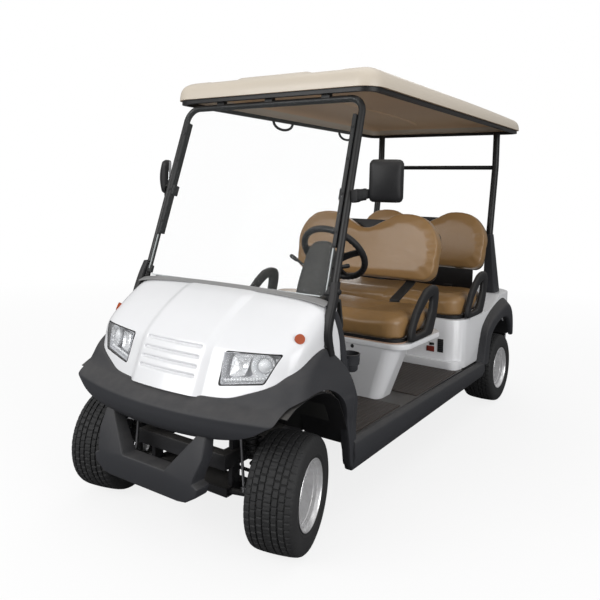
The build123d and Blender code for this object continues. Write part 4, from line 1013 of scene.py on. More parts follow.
def padded_copy(node, name, shrink, cap, pressure):
    """A cushion made from a CAD block: shrunk, remeshed, puffed up by cloth and held in bounds."""
    pad = node_copy(node, name)
    low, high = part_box(node)
    centre = (low + high) / 2
    reach = high - low
    keep = Vector([(r - 2 * shrink) / r for r in reach])
    for vertex in pad.data.vertices:
        offset = vertex.co - centre
        vertex.co = centre + Vector((offset.x * keep.x, offset.y * keep.y, offset.z * keep.z))
    bpy.ops.object.mode_set(mode="EDIT")
    bpy.ops.mesh.select_all(action="SELECT")
    bpy.ops.mesh.remove_doubles(threshold=0.0002)
    bpy.ops.object.mode_set(mode="OBJECT")
    pad.data.remesh_voxel_size = 0.0065
    bpy.ops.object.voxel_remesh()
    modify(pad, "SMOOTH", factor=0.5, iterations=12)
    start = [vertex.co.copy() for vertex in pad.data.vertices]
    bpy.ops.object.modifier_add(type="CLOTH")
    cloth = pad.modifiers[-1]
    cloth.settings.use_pressure = True
    cloth.settings.uniform_pressure_force = pressure
    cloth.settings.effector_weights.gravity = 0
    cloth.settings.tension_stiffness = 40
    cloth.settings.compression_stiffness = 40
    cloth.settings.bending_stiffness = 25
    cloth.point_cache.frame_start = 1
    cloth.point_cache.frame_end = puff_frames
    for step in range(1, puff_frames + 1):
        bpy.context.scene.frame_set(step)
    bpy.ops.object.modifier_apply(modifier=cloth.name)
    bpy.context.scene.frame_set(1)
    for vertex, origin in zip(pad.data.vertices, start):
        shift = vertex.co - origin
        if shift.length > cap:
            vertex.co = origin + shift * (cap / shift.length)
    modify(pad, "SMOOTH", factor=0.5, iterations=16)
    return pad


low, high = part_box("front_seat_cushion")
cushion = padded_copy("front_seat_cushion", "front_cushion", 0.012, 0.014, 2.4)
middle = (low + high) / 2
half = (high - low) / 2
place_middle = 0.48
dish_depth = 0.016
roll_drop = 0.016
foot_drop = 0.012
for vertex in cushion.data.vertices:
    u = (vertex.co.x - middle.x) / half.x
    v = (vertex.co.y - middle.y) / half.y
    if vertex.co.z > middle.z:
        # Two shallow places to sit, a raised middle between them and a rolled front edge.
        dish = max(0.0, 1 - abs(abs(u) - place_middle) / place_middle)
        hollow = dish_depth * dish * max(0.0, 1 - (v - 0.05) ** 2 * 1.2)
        vertex.co.z -= hollow * min(1.0, (vertex.co.z - middle.z) / 0.05)
        roll = roll_drop * max(0.0, -v - 0.62) / 0.38
        vertex.co.z -= roll * min(1.0, (vertex.co.z - middle.z) / 0.05)
    else:
        # The foot of the cushion settles onto the rim of the seat base.
        vertex.co.z -= foot_drop * (middle.z - vertex.co.z) / half.z
bpy.ops.object.shade_smooth()
backrest = padded_copy("front_seat_back", "front_backrest", 0.009, 0.012, 2.0)
bpy.ops.object.shade_smooth()


def row_behind(piece, name):
    """A copy of a front bench's piece, set back to the rear bench."""
    twin = copy_of(piece, name)
    for vertex in twin.data.vertices:
        vertex.co.y += row_pitch
    return twin


for pad, node in (
    (row_behind(cushion, "rear_cushion"), "rear_seat_cushion"),
    (row_behind(backrest, "rear_backrest"), "rear_seat_back"),
    (cushion, "front_seat_cushion"),
    (backrest, "front_seat_back"),
):
    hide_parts(node)
    settle(pad, "cart_body", vinyl)

# ---- Roof -----------------------------------------------------------------------------------
# A shallow beige moulding with rolled edges and a broad raised band down its middle, with small
# steps either side. It is one skin, thickened downwards, so its underside shows from the seats.
roof_low, roof_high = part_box("roof_shell")
roof_middle = (roof_low + roof_high) / 2
roof_half = (roof_high - roof_low) / 2
roof_corner = 0.100
# Half the middle band's width, the distance from the middle to the side strips, and their rises.
band_edge, band_rise = 0.1965, 0.0085
strip_edge, strip_rise = 0.4050, 0.0030
strip_slope = 0.0045
rear_taper = 0.14
flat_half, edge_run = 0.485, 0.115
# columns: distance in from the edge, height over the edge
roof_rise = (
    (0.000, 0.010), (0.003, 0.034), (0.009, 0.052), (0.020, 0.068), (0.038, 0.080), (0.065, 0.089),
    (0.110, 0.095), (0.180, 0.099), (0.300, 0.1025), (0.450, 0.104), (0.600, 0.1045),
)
edge_steps = (0.0, 0.0015, 0.004, 0.009, 0.015, 0.022, 0.031, 0.042, 0.056, 0.075, 0.100)
inner_columns = (
    0.470, 0.440, 0.4095, strip_edge, 0.360, 0.310, 0.260, 0.220, band_edge, 0.1880, 0.150, 0.090, 0.0,
)
inner_rows = [roof_half.y - 0.16 - 0.0985 * t for t in range(20)]


def roof_point(x, y):
    """Point on the roof's top at x, y, measured from its middle."""
    past = max(abs(y) - (roof_half.y - roof_corner), 0.0)
    aside = max(abs(x) - (roof_half.x - roof_corner), 0.0)
    inset = min(roof_half.x - abs(x), roof_half.y - abs(y))
    if past > 0 and aside > 0:
        inset = roof_corner - sqrt(past ** 2 + aside ** 2)
    rise = ease(roof_rise, max(inset, 0.0)) * (1.0 - rear_taper * max(0.0, y / roof_half.y) ** 2)
    share = min(1.0, max(0.0, (inset - 0.03) / 0.05))
    rise += band_rise * share * min(1.0, max(0.0, (band_edge - abs(x)) / band_rise))
    rise += strip_rise * share * min(1.0, max(0.0, (abs(x) - strip_edge) / strip_slope))
    return (roof_middle.x + x, roof_middle.y + y, roof_low.z + rise)


def roof_columns(y):
    """Distances across the roof at y, from its right edge to its left edge."""
    past = max(abs(y) - (roof_half.y - roof_corner), 0.0)
    reach = roof_half.x - roof_corner + sqrt(max(roof_corner ** 2 - past ** 2, 0.0))
    outer = [reach - step * (reach - flat_half) / edge_run for step in edge_steps]
    half = outer + list(inner_columns)
    return [-x for x in half] + list(reversed(half[:-1]))


rear_lines = [roof_half.y - step for step in edge_steps] + [y for y in inner_rows if y > 0]
roof_lines = [-y for y in rear_lines] + [0.0] + list(reversed(rear_lines))
roof_rows = []
for y in roof_lines:
    line = [roof_point(x, y) for x in roof_columns(y)]
    skirt_right, skirt_left = [(end[0], end[1], roof_low.z) for end in (line[0], line[-1])]
    roof_rows.append([skirt_right] + line + [skirt_left])
front_skirt = [(x, y, roof_low.z) for x, y, z in roof_rows[0]]
rear_skirt = [(x, y, roof_low.z) for x, y, z in roof_rows[-1]]
roof = grid_skin("roof_panel", [front_skirt] + roof_rows + [rear_skirt])
weld(0.00005)
thicken(roof, 0.010, 0, 32)
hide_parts("roof_shell")
settle(roof, "cart_body", roof_beige, roof_shaded_under)
# Faces that look down take the underside beige, a painted shade tint.
for face in roof.data.polygons:
    face.material_index = 1 if face.normal.z < -0.4 else 0

# ---- Rounded panels and castings ------------------------------------------------------------
# Hard parts whose solids already have the right form. Each is copied, its flat facets merged and
# its sharp edges rounded, as a mould or a bent sheet would leave them.


def rounded(name, width, coat):
    """A copy of a CAD node with its edges rounded by width, standing for the node."""
    piece = node_copy(name, name + "_rounded")
    bpy.ops.object.mode_set(mode="EDIT")
    bpy.ops.mesh.select_all(action="SELECT")
    bpy.ops.mesh.remove_doubles(threshold=0.00002)
    bpy.ops.mesh.dissolve_limited(angle_limit=radians(1.0))
    bpy.ops.object.mode_set(mode="OBJECT")
    modify(piece, "BEVEL", width=width, segments=3, limit_method="ANGLE", angle_limit=radians(34))
    bpy.ops.object.shade_smooth_by_angle(angle=radians(30))
    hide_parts(name)
    settle(piece, "cart_body", coat)
    return piece


# columns: node, edge width in metres, finish
for name, width, coat in (
    ("bumper_guard", 0.020, charcoal),
    ("side_rockers", 0.008, charcoal),
    ("front_seat_base", 0.008, white_panel),
    ("rear_body", 0.006, white_panel),
    ("rear_bumper", 0.010, charcoal),
    ("post_covers", 0.010, charcoal),
    ("dash_panel", 0.006, dash_grey),
    ("battery_block", 0.004, black_plastic),
    ("pedals", 0.004, black_plastic),
    ("tail_lamps", 0.004, red_lens),
    ("motor", 0.004, casting),
    ("chassis_frame", 0.003, steel),
):
    rounded(name, width, coat)

# The rockers' lower edges hang a little below the frame and their rear ends rise, slimmer, to
# meet the feet of the rear fenders. The posts are stout tubes.
rocker_hang = 0.018
rocker_top = 0.350
tail_start, tail_length, tail_top, tail_slim = 1.750, 0.185, 0.338, 0.68
for vertex in bpy.data.objects["side_rockers_rounded"].data.vertices:
    vertex.co.z -= rocker_hang * min(1.0, max(0.0, (0.300 - vertex.co.z) / 0.05))
    if vertex.co.y > axle_y + tail_start:
        vertex.co.y += tail_length
        vertex.co.z = tail_top - (rocker_top - vertex.co.z) * tail_slim
rear_tubes = rounded("rear_posts", 0.002, black_frame)
pick(rear_tubes)
modify(rear_tubes, "DISPLACE", strength=0.007, mid_level=0.0)
bpy.ops.object.select_all(action="DESELECT")

# The backrest struts are broader than their solids and lean in towards the bench.
back_strut_x, back_strut_reach, back_strut_top = 0.360, 0.025, 1.0
back_strut_spread = 0.8
lean_head, lean_foot = 0.033, 0.070
lean_start, lean_run = 0.95, 0.16
struts = rounded("back_frames", 0.003, black_frame)
for vertex in struts.data.vertices:
    x, z = vertex.co.x, vertex.co.z
    aside = abs(x) - back_strut_x
    if z < back_strut_top and abs(aside) < back_strut_reach:
        lean = lean_head + lean_foot * min(1.0, max(0.0, (lean_start - z) / lean_run))
        vertex.co.x = (abs(x) - lean + aside * back_strut_spread) * (1 if x > 0 else -1)

# ---- Front springs --------------------------------------------------------------------------
# A black coil spring stands round each strut, between two dished seats, with a bright link rod
# from the strut's top to the lower arm.
strut_low = Vector((0.352, axle_y, 0.300))
strut_high = Vector((0.272, axle_y, 0.478))
strut_along = (strut_high - strut_low).normalized()
strut_side = strut_along.cross(Vector((0, 1, 0))).normalized()
coil_turns, turn_steps = 8, 20
coil_radius, coil_wire = 0.034, 0.0055


def round_angles(count):
    """Angles of count equal steps round a circle, ending on the first."""
    return [2 * pi * (step % count) / count for step in range(count + 1)]


spring_rows = []
for step in range(coil_turns * turn_steps + 1):
    angle = 2 * pi * step / turn_steps
    spot = strut_low.lerp(strut_high, step / (coil_turns * turn_steps))
    outward = strut_side * cos(angle) + Vector((0, 1, 0)) * sin(angle)
    ring = []
    for around in round_angles(8):
        across, along = coil_wire * cos(around), coil_wire * sin(around)
        ring.append(spot + outward * (coil_radius + across) + strut_along * along)
    spring_rows.append(ring)
spring = grid_skin("coil_spring", spring_rows)
weld(0.0001)
bpy.ops.object.shade_smooth_by_angle(angle=radians(60))
seat_profile = (
    (0.0, 0.012), (0.001, 0.040), (0.004, 0.043), (0.008, 0.042), (0.010, 0.030), (0.011, 0.012),
)
springs = [spring]
for spot, heading in ((strut_low, strut_along), (strut_high, -strut_along)):
    springs.append(turned("spring_seat", seat_profile, spot - heading * 0.008, heading, 32))
settle_pair(join_pieces(springs, "coil_spring_left"), black_frame)
link_low = Vector((0.318, axle_y - 0.058, 0.205))
link_high = Vector((0.292, axle_y - 0.058, 0.455))
link_profile = (
    (0.0, 0.002), (0.001, 0.009), (0.020, 0.010), (0.024, 0.006), (0.230, 0.006), (0.234, 0.010),
    (0.250, 0.009), (0.251, 0.002),
)
settle_pair(turned("link_rod_left", link_profile, link_low, link_high - link_low, 20), nut_steel)

# ---- Rear fenders ---------------------------------------------------------------------------
# Charcoal mouldings over the rear wheels: a flat band slopes out from the body to a soft crease,
# drops to a rounded lip, and a black sheet lines the well behind it.
# columns: station, height where the band meets the body
fender_root = (
    (1.990, 0.330), (2.018, 0.418), (2.060, 0.526), (2.091, 0.573), (2.214, 0.641), (2.373, 0.685),
    (2.470, 0.703), (2.545, 0.698), (2.605, 0.655), (2.638, 0.580), (2.648, 0.500), (2.640, 0.430),
)
# columns: station, height of the crease
fender_crease = (
    (2.012, 0.330), (2.028, 0.422), (2.038, 0.514), (2.068, 0.559), (2.153, 0.597), (2.279, 0.629),
    (2.395, 0.657), (2.470, 0.668), (2.545, 0.648), (2.595, 0.595), (2.612, 0.515), (2.610, 0.440),
)
# columns: station, height of the lip over the tyre
fender_lip = (
    (2.112, 0.330), (2.124, 0.403), (2.134, 0.450), (2.164, 0.503), (2.231, 0.543), (2.330, 0.572),
    (2.420, 0.580), (2.480, 0.572), (2.530, 0.547), (2.566, 0.505), (2.586, 0.460), (2.592, 0.425),
)
rear_rows = []
well_rows = []
for root, crease, lip in zip(fender_root, fender_crease, fender_lip):
    root, crease, lip = Vector(root), Vector(crease), Vector(lip)
    band = [(root, 0.546), (root.lerp(crease, 0.10), 0.558), (root.lerp(crease, 0.75), 0.590)]
    drop = [(crease, 0.600), (crease.lerp(lip, 0.20), 0.6045), (crease.lerp(lip, 0.60), 0.604)]
    edge = [(crease.lerp(lip, 0.92), 0.599), (lip, 0.590), (lip, 0.572)]
    rear_rows.append([(x, axle_y + spot.x, spot.y) for spot, x in band + drop + edge])
    well_rows.append([(x, axle_y + lip.x, lip.y + 0.002) for x in (0.580, 0.500, 0.385)])
rear_fender = grid_skin("rear_fender_left", rear_rows)
thicken(rear_fender, 0.004, 2, 50)
well = grid_skin("rear_well_left", well_rows)
thicken(well, 0.003, 1, 50)
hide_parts("rear_fenders")
settle_pair(rear_fender, charcoal)
settle_pair(well, liner_coat)

# ---- Grab handles ---------------------------------------------------------------------------
# Two round black loops hang from the roof rail on the right side, one by each bench. Each is half
# an oval of rubber-covered rod, let into the rail at both ends.
low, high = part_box("grab_handles")
handle_length = 0.208
handle_drop = 0.046
handle_rod = 0.0085
handle_steps = 32
for mark, start in (("front", low.y), ("rear", high.y - handle_length)):
    handle_rows = []
    for step in range(handle_steps + 1):
        around = pi * step / handle_steps
        station = start + handle_length / 2 * (1 - cos(around))
        middle = Vector(((low.x + high.x) / 2, station, high.z - handle_drop * sin(around)))
        outward = Vector((0, -cos(around) * handle_drop, -sin(around) * handle_length / 2)).normalized()
        ring = []
        for angle in round_angles(12):
            ring.append(middle + handle_rod * (outward * cos(angle) + Vector((1, 0, 0)) * sin(angle)))
        handle_rows.append(ring)
    handle = grid_skin("grab_handle_" + mark, handle_rows)
    weld(0.0001)
    bpy.ops.object.shade_smooth_by_angle(angle=radians(50))
    if mark == "front":
        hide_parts("grab_handles")
    settle(handle, "cart_body", black_plastic)

# ---- Door jambs and cup holders -------------------------------------------------------------
# A charcoal strip closes the cowl's rear edge on each side, with a round cup holder behind it on
# a short shelf. Strip, holder and shelf are one moulding.
# columns: height, station of the strip's rear edge
jamb_rear = (
    (0.640, 0.336), (0.700, 0.327), (0.754, 0.316), (0.795, 0.304), (0.830, 0.289), (0.872, 0.271),
    (0.914, 0.244), (0.938, 0.216), (0.948, 0.196),
)
jamb_heights = (
    0.640, 0.670, 0.700, 0.727, 0.754, 0.775, 0.795, 0.813, 0.830, 0.851, 0.872, 0.893, 0.914, 0.928,
    0.938, 0.948,
)
jamb_rows = []
for z in jamb_heights:
    near, far = ease(cowl_rear, z) - 0.004, ease(jamb_rear, z)
    far = max(far, near + 0.006)
    outside = [(0.548, near), (0.5595, near), (0.5605, near * 0.5 + far * 0.5), (0.557, far - 0.003)]
    edge = [(0.548, far), (0.524, far)]
    inside = [(0.517, far - 0.004), (0.517, near + 0.002), (0.530, near), (0.548, near)]
    ring = outside + edge + inside
    jamb_rows.append([(x, axle_y + s, z) for x, s in ring])
jamb_rows.append([(x * 0.5 + 0.27, y, z + 0.001) for x, y, z in jamb_rows[-1]])
jamb = grid_skin("door_jamb_left", jamb_rows)
weld(0.0001)
thicken(jamb, 0, 1, 60)
cup_profile = (
    (0.000, 0.002), (0.001, 0.034), (0.006, 0.039), (0.028, 0.041), (0.031, 0.046), (0.070, 0.047),
    (0.075, 0.049), (0.077, 0.047), (0.077, 0.043), (0.074, 0.042), (0.010, 0.038), (0.006, 0.002),
)
cup_foot = (0.531, axle_y + 0.382, 0.639)
cup_holder = turned("cup_holder_left", cup_profile, cup_foot, (0, 0, 1), 48)
shelf_inner, shelf_outer = 0.520, 0.552
shelf_top, shelf_foot = 0.700, 0.650
shelf_ring = (
    (shelf_inner, shelf_top), (shelf_outer, shelf_top), (shelf_outer, shelf_foot),
    (shelf_inner, shelf_foot), (shelf_inner, shelf_top),
)
shelf_rows = [[(x, axle_y + s, z) for x, z in shelf_ring] for s in (0.305, 0.345)]
shelf = grid_skin("cup_shelf", shelf_rows)
thicken(shelf, 0.004, 0, 40)
jamb = join_pieces([jamb, cup_holder, shelf], "door_jamb_left")
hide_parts("door_jambs")
settle_pair(jamb, charcoal)

# ---- Hip restraints -------------------------------------------------------------------------
# Four moulded black loops, one at each end of each bench: a broad band with a rounded section
# round a three-cornered opening, standing on the rim of the seat base.

# columns: station, height of the front loop's outlines, in millimetres
loop_outer = (
    (958, 652), (962, 708), (1022, 806), (1092, 868), (1165, 914), (1240, 927), (1305, 914),
    (1326, 882), (1322, 836), (1296, 741), (1268, 688), (1246, 652),
)
loop_inner = (
    (1022, 700), (1036, 732), (1084, 783), (1168, 842), (1222, 868), (1234, 858), (1221, 788),
    (1184, 732), (1146, 692), (1036, 686),
)
loop_heart = (1130, 766)
loop_middle = 0.545
loop_thick = 0.017


def ray_reach(outline, angle):
    """Distance from the loop's heart to its outline, in the direction angle."""
    dx, dz = cos(angle), sin(angle)
    reach = 0.0
    for (s0, z0), (s1, z1) in zip(outline, outline[1:] + outline[:1]):
        ax, az, bx, bz = s0 - loop_heart[0], z0 - loop_heart[1], s1 - s0, z1 - z0
        cross = dx * bz - dz * bx
        if abs(cross) > 1e-9:
            t = (ax * bz - az * bx) / cross
            u = (ax * dz - az * dx) / cross
            if t > 0 and -1e-6 <= u <= 1 + 1e-6:
                reach = max(reach, t)
    return reach


def squared(value, power):
    """A sine or cosine swelled towards 1 or -1, so that a circle of them turns into a soft square."""
    return abs(value) ** power * (1 if value > 0 else -1)


loop_rows = []
for angle in round_angles(56):
    near, wide = ray_reach(loop_inner, angle), ray_reach(loop_outer, angle)
    ring = []
    for around in round_angles(12):
        across, out = squared(cos(around), 0.62), squared(sin(around), 0.62)
        reach = (near + wide) / 2 + across * (wide - near) / 2
        station = (loop_heart[0] + cos(angle) * reach) / 1000
        height = (loop_heart[1] + sin(angle) * reach) / 1000
        ring.append((loop_middle + out * loop_thick, axle_y + station, height))
    loop_rows.append(ring)
loop = grid_skin("hip_restraint", loop_rows)
weld(0.0001)
thicken(loop, 0, 1, 60)
loops = [loop, mirrored(loop, "hip_restraint_right")]
loops += [row_behind(piece, piece.name + "_rear") for piece in loops]
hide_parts("hip_restraints")
for piece in loops:
    settle(piece, "cart_body", black_plastic)

# ---- Steering wheel and column --------------------------------------------------------------
# A thick black rim with finger swells on its underside, three flat spokes and a round pad, on a
# grey tapered pod with a lever each side.
wheel_hub = Vector((0.264, axle_y + 0.678, 1.111))
wheel_lean = radians(40)
wheel_axis = Vector((0, cos(wheel_lean), sin(wheel_lean)))
wheel_tilt = wheel_axis.to_track_quat("Z", "Y").to_matrix().to_4x4()
wheel_turn = Matrix.Translation(wheel_hub) @ wheel_tilt
bpy.ops.mesh.primitive_torus_add(
    major_radius=0.162, minor_radius=0.0155, major_segments=120, minor_segments=20
)
wheel_rim = name_piece("wheel_rim")
finger_swells = 40
for vertex in wheel_rim.data.vertices:
    around = atan2(vertex.co.y, vertex.co.x)
    if vertex.co.z < -0.004:
        vertex.co.z -= 0.0016 * (1 + cos(finger_swells * around))
wheel_parts = [wheel_rim]
wheel_spoke_root, wheel_spoke_reach = 0.030, 0.130
# columns: angle of the spoke round the wheel, half width
for angle, half_spoke in ((radians(8), 0.019), (radians(172), 0.019), (radians(270), 0.024)):
    spoke = unit_block("wheel_spoke", 5)
    for vertex in spoke.data.vertices:
        far, wide, deep = vertex.co.x + 0.5, vertex.co.y, vertex.co.z
        radius = wheel_spoke_root + far * wheel_spoke_reach
        half = half_spoke * (1.0 + 0.45 * (1 - far) ** 2 - 0.20 * far * (1 - far) * 4)
        sink = -0.052 * (1 - far) ** 1.5 + 0.004 * (1 - (2 * wide) ** 2)
        x = radius * cos(angle) - wide * 2 * half * sin(angle)
        y = radius * sin(angle) + wide * 2 * half * cos(angle)
        vertex.co = (x, y, sink + deep * 0.011)
    modify(spoke, "BEVEL", width=0.0035, segments=2)
    wheel_parts.append(spoke)
for piece in wheel_parts:
    piece.data.transform(wheel_turn)
pad_profile = (
    (-0.075, 0.020), (-0.072, 0.040), (-0.060, 0.052), (-0.042, 0.056), (-0.030, 0.055),
    (-0.020, 0.050), (-0.013, 0.038), (-0.011, 0.020), (-0.010, 0.001),
)
wheel_parts.append(turned("wheel_pad", pad_profile, wheel_hub, wheel_axis, 48))
wheel = join_pieces(wheel_parts, "steering_wheel_dressed")
bpy.ops.object.shade_smooth_by_angle(angle=radians(40))
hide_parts("steering_wheel")
settle(wheel, "steering_wheel", black_plastic)

# columns: height, middle station, half width, half depth of the pod's sections
pod_sections = (
    (0.905, 0.470, 0.080, 0.060), (0.950, 0.480, 0.080, 0.058), (1.000, 0.495, 0.078, 0.055),
    (1.060, 0.518, 0.074, 0.052), (1.110, 0.535, 0.069, 0.048), (1.140, 0.545, 0.062, 0.043),
    (1.160, 0.550, 0.052, 0.036), (1.173, 0.553, 0.036, 0.026), (1.178, 0.555, 0.016, 0.012),
)
pod_middle = 0.278
pod_rows = []
for z, middle_station, half_wide, half_deep in pod_sections:
    ring = []
    for around in round_angles(32):
        a, b = squared(cos(around), 0.6), squared(sin(around), 0.6)
        ring.append((pod_middle + half_wide * a, axle_y + middle_station + half_deep * b, z))
    pod_rows.append(ring)
pod_rows.append([(pod_middle, axle_y + 0.555, 1.1785)] * len(pod_rows[0]))
pod = grid_skin("column_pod", pod_rows)
weld(0.0001)
thicken(pod, 0, 2, 60)
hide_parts("column_cover")
settle(pod, "cart_body", dash_grey)

lever = ((0.0, 0.006), (0.050, 0.006), (0.056, 0.0095), (0.090, 0.0105), (0.098, 0.008), (0.100, 0.001))
lever_parts = []
for side, rise in ((-1, 0.50), (1, 0.22)):
    root = (0.270 + side * 0.072, axle_y + 0.520, 1.055)
    lever_parts.append(turned("lever", lever, root, (side, 0.05, rise), 20))
settle(join_pieces(lever_parts, "column_levers"), "cart_body", black_plastic)

# ---- Windscreen fittings --------------------------------------------------------------------
# Black channels hold the upper sheet to the posts, with four bolts and a clip on each. A rubber
# boot with a clip and a knob holds each post's foot, and thin pale strips on the lower sheet's
# edges are a painted highlight for the light its clear edges catch.
post_foot = Vector((0.552, axle_y + 0.150, 0.786))
post_head = Vector((0.520, axle_y + 0.471, 1.826))
post_front = Vector((0, -0.9555, 0.2949))


def on_post(z, inboard=0.0, forward=0.0):
    """Point on the left post's axis at height z, moved towards the middle and forwards."""
    spot = post_foot.lerp(post_head, (z - post_foot.z) / (post_head.z - post_foot.z))
    return spot + Vector((-inboard, 0, 0)) + post_front * forward


def post_block(name, low, high, inboard, forward, wide, deep, edge):
    """A block with rounded edges that runs along the left post between two heights."""
    block = unit_block(name)
    for vertex in block.data.vertices:
        at_z = high if vertex.co.z > 0 else low
        spot = on_post(at_z, inboard, forward)
        vertex.co = spot + Vector((vertex.co.x * wide, 0, 0)) + post_front * (-vertex.co.y * deep)
    modify(block, "BEVEL", width=edge, segments=3)
    bpy.ops.object.shade_smooth_by_angle(angle=radians(40))
    return block


sheet_edge = 0.0245
sheet_front = 0.019
# columns: height, station of the boot's middle
boot_line = (
    (0.752, 0.173), (0.775, 0.166), (0.800, 0.157), (0.825, 0.150), (0.850, 0.148), (0.882, 0.154),
    (0.915, 0.165), (0.946, 0.178), (0.980, 0.192), (1.015, 0.206), (1.045, 0.2185),
)
boot_rows = []
for z, station in boot_line:
    boot_middle = 0.561 - 0.010 * max(0.0, z - 0.98) / 0.065
    ring = []
    for around in round_angles(16):
        across, along = squared(cos(around), 0.55), squared(sin(around), 0.55)
        ring.append((boot_middle + 0.0185 * across, axle_y + station + 0.019 * along, z))
    boot_rows.append(ring)
boot = grid_skin("post_boot", boot_rows)
weld(0.0001)
thicken(boot, 0.003, 1, 60)
fittings = [boot]
# columns: name, foot, head, offsets inboard and forward, width, depth, edge
for fitting in (
    ("screen_channel", 1.180, 1.748, sheet_edge, 0.002, 0.018, 0.034, 0.0025),
    ("screen_clip", 1.375, 1.425, 0.036, -0.006, 0.014, 0.040, 0.004),
    ("foot_clip", 0.985, 1.020, 0.022, 0.010, 0.030, 0.022, 0.004),
):
    fittings.append(post_block(*fitting))
knob = ((0.0, 0.012), (0.006, 0.013), (0.018, 0.013), (0.022, 0.010), (0.023, 0.001))
fittings.append(turned("knob", knob, on_post(1.003, -0.014, 0.010), (1, 0, 0), 24))
bolt = ((0.0, 0.007), (0.004, 0.007), (0.005, 0.005), (0.005, 0.001))
for z in (1.24, 1.40, 1.55, 1.69):
    fittings.append(turned("bolt", bolt, on_post(z, sheet_edge, 0.018), post_front, 12))
settle_pair(join_pieces(fittings, "screen_fittings_left"), black_plastic)

# The sheet's edges: thin pale strips at the foot and along both sides of the lower half, a painted
# highlight for the light the clear edges catch.
edge_highlight_coat = moulded("sheet_edge", rgb(0.42, 0.45, 0.45), 0.25, 400, 0.0001, dust=0.0)
edge_parts = []
strip_wide, strip_deep = 0.0045, 0.005
side_strip_foot, side_strip_head = 1.003, 1.172
foot_strip_low, foot_strip_high, foot_strip_long = 0.9755, 0.9795, 0.990
for side in (1, -1):
    strip = unit_block("sheet_edge")
    for vertex in strip.data.vertices:
        height = side_strip_head if vertex.co.z > 0 else side_strip_foot
        spot = on_post(height, sheet_edge, sheet_front)
        spot = spot + Vector((vertex.co.x * strip_wide, 0, 0)) - post_front * vertex.co.y * strip_deep
        vertex.co = (side * spot.x, spot.y, spot.z)
    edge_parts.append(strip)
strip = unit_block("sheet_edge_low")
for vertex in strip.data.vertices:
    height = foot_strip_high if vertex.co.z > 0 else foot_strip_low
    spot = on_post(height, 0.0, sheet_front)
    vertex.co = (vertex.co.x * foot_strip_long, spot.y + vertex.co.y * strip_deep, spot.z)
edge_parts.append(strip)
for strip in edge_parts:
    bpy.context.view_layer.objects.active = strip
    bpy.ops.object.mode_set(mode="EDIT")
    bpy.ops.mesh.select_all(action="SELECT")
    bpy.ops.mesh.normals_make_consistent(inside=False)
    bpy.ops.object.mode_set(mode="OBJECT")
settle(join_pieces(edge_parts, "screen_edges"), "cart_body", edge_highlight_coat)

# ---- Mirrors --------------------------------------------------------------------------------
# Black housings with softly rounded corners and a hood, and flush glass that faces the seats, on
# ribbed arms.
glass_coat = Coat("mirror_glass")
film = glass_coat.noise(20, 3)
glass_coat.set(
    Base_Color=rgb(0.86, 0.88, 0.90),
    Metallic=1.0,
    Roughness=0.02 + film * 0.04,
)
half_wide, half_deep, half_tall = 0.072, 0.016, 0.090
glass_size = (0.128, 0.003, 0.164)
flat_wide, flat_tall = 0.70, 0.76
housing_belly = 0.020
# columns: start and end along the arm, height, depth
arm_blocks = (
    (0.0, 1.0, 0.046, 0.026), (0.0, 0.30, 0.056, 0.034), (0.36, 0.42, 0.050, 0.030),
    (0.50, 0.56, 0.050, 0.030),
)
# columns: side, sign, middle of the housing, angle it is turned by
for mark, sign, place, turn in (
    ("left", 1, (0.674, axle_y + 0.400, 1.462), 15),
    ("right", -1, (-0.662, axle_y + 0.445, 1.470), -50),
):
    housing = unit_block("mirror_housing_" + mark, 9)
    for vertex in housing.data.vertices:
        u, v, w = vertex.co.x * 2, vertex.co.y * 2, vertex.co.z * 2
        shrink = 1.0 - 0.16 * max(0.0, -v) ** 2
        corner = max(0.0, abs(u) - flat_wide) / (1 - flat_wide)
        tall = max(0.0, abs(w) - flat_tall) / (1 - flat_tall)
        if corner > 0 and tall > 0:
            scale = max(corner, tall) / sqrt(corner ** 2 + tall ** 2)
            u = (flat_wide + (1 - flat_wide) * corner * scale) * (1 if u > 0 else -1)
            w = (flat_tall + (1 - flat_tall) * tall * scale) * (1 if w > 0 else -1)
        belly = housing_belly * (1 - 0.6 * u * u) * (1 - 0.6 * w * w) if v < -0.5 else 0.0
        depth = v * half_deep - belly * min(1.0, -v)
        vertex.co = (u * half_wide * shrink, depth, w * half_tall * shrink)
    modify(housing, "BEVEL", width=0.004, segments=3, limit_method="ANGLE", angle_limit=radians(50))
    bpy.ops.object.shade_smooth_by_angle(angle=radians(40))
    glass = unit_block("mirror_glass_" + mark)
    glass.data.transform(Matrix.Diagonal((*glass_size, 1)))
    glass.data.transform(Matrix.Translation((0, half_deep, 0)))
    round_edges(0.0012, 2)
    set_up = Matrix.Translation(place) @ Matrix.Rotation(radians(turn), 4, "Z")
    for piece in (housing, glass):
        piece.data.transform(set_up)
    root = Vector((sign * 0.552, axle_y + 0.338, 1.394))
    tip = Vector(place) + Vector((-sign * 0.050, 0.0, -0.050))
    parts = [housing]
    for near, far, tall, deep in arm_blocks:
        arm = unit_block("mirror_arm")
        for vertex in arm.data.vertices:
            spot = root.lerp(tip, near if vertex.co.x < 0 else far)
            narrow = 0.80 if vertex.co.x > 0 and far == 1.0 else 1.0
            vertex.co = spot + Vector((0, vertex.co.y * deep, vertex.co.z * tall * narrow))
        round_edges(0.005, 3, True)
        bpy.ops.object.shade_smooth_by_angle(angle=radians(40))
        parts.append(arm)
    dressed = join_pieces(parts, "mirror_" + mark)
    if mark == "left":
        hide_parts("mirrors")
    settle(dressed, "cart_body", black_plastic)
    settle(glass, "cart_body", glass_coat)

# ---- Seat-base trim and fittings ------------------------------------------------------------
# A black band under each cushion, painted shade that stands for the shadow line where the cushion
# meets the base, a thin tan piping round the front one's foot, a lock and two catches on the front
# seat base, a black vent and a plain red reflector on the rear body, and a dark sheet that closes
# the gap behind the rear cushion.
cushion_low, cushion_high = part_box("front_seat_cushion")
trim_corner, trim_steps = 0.075, 8


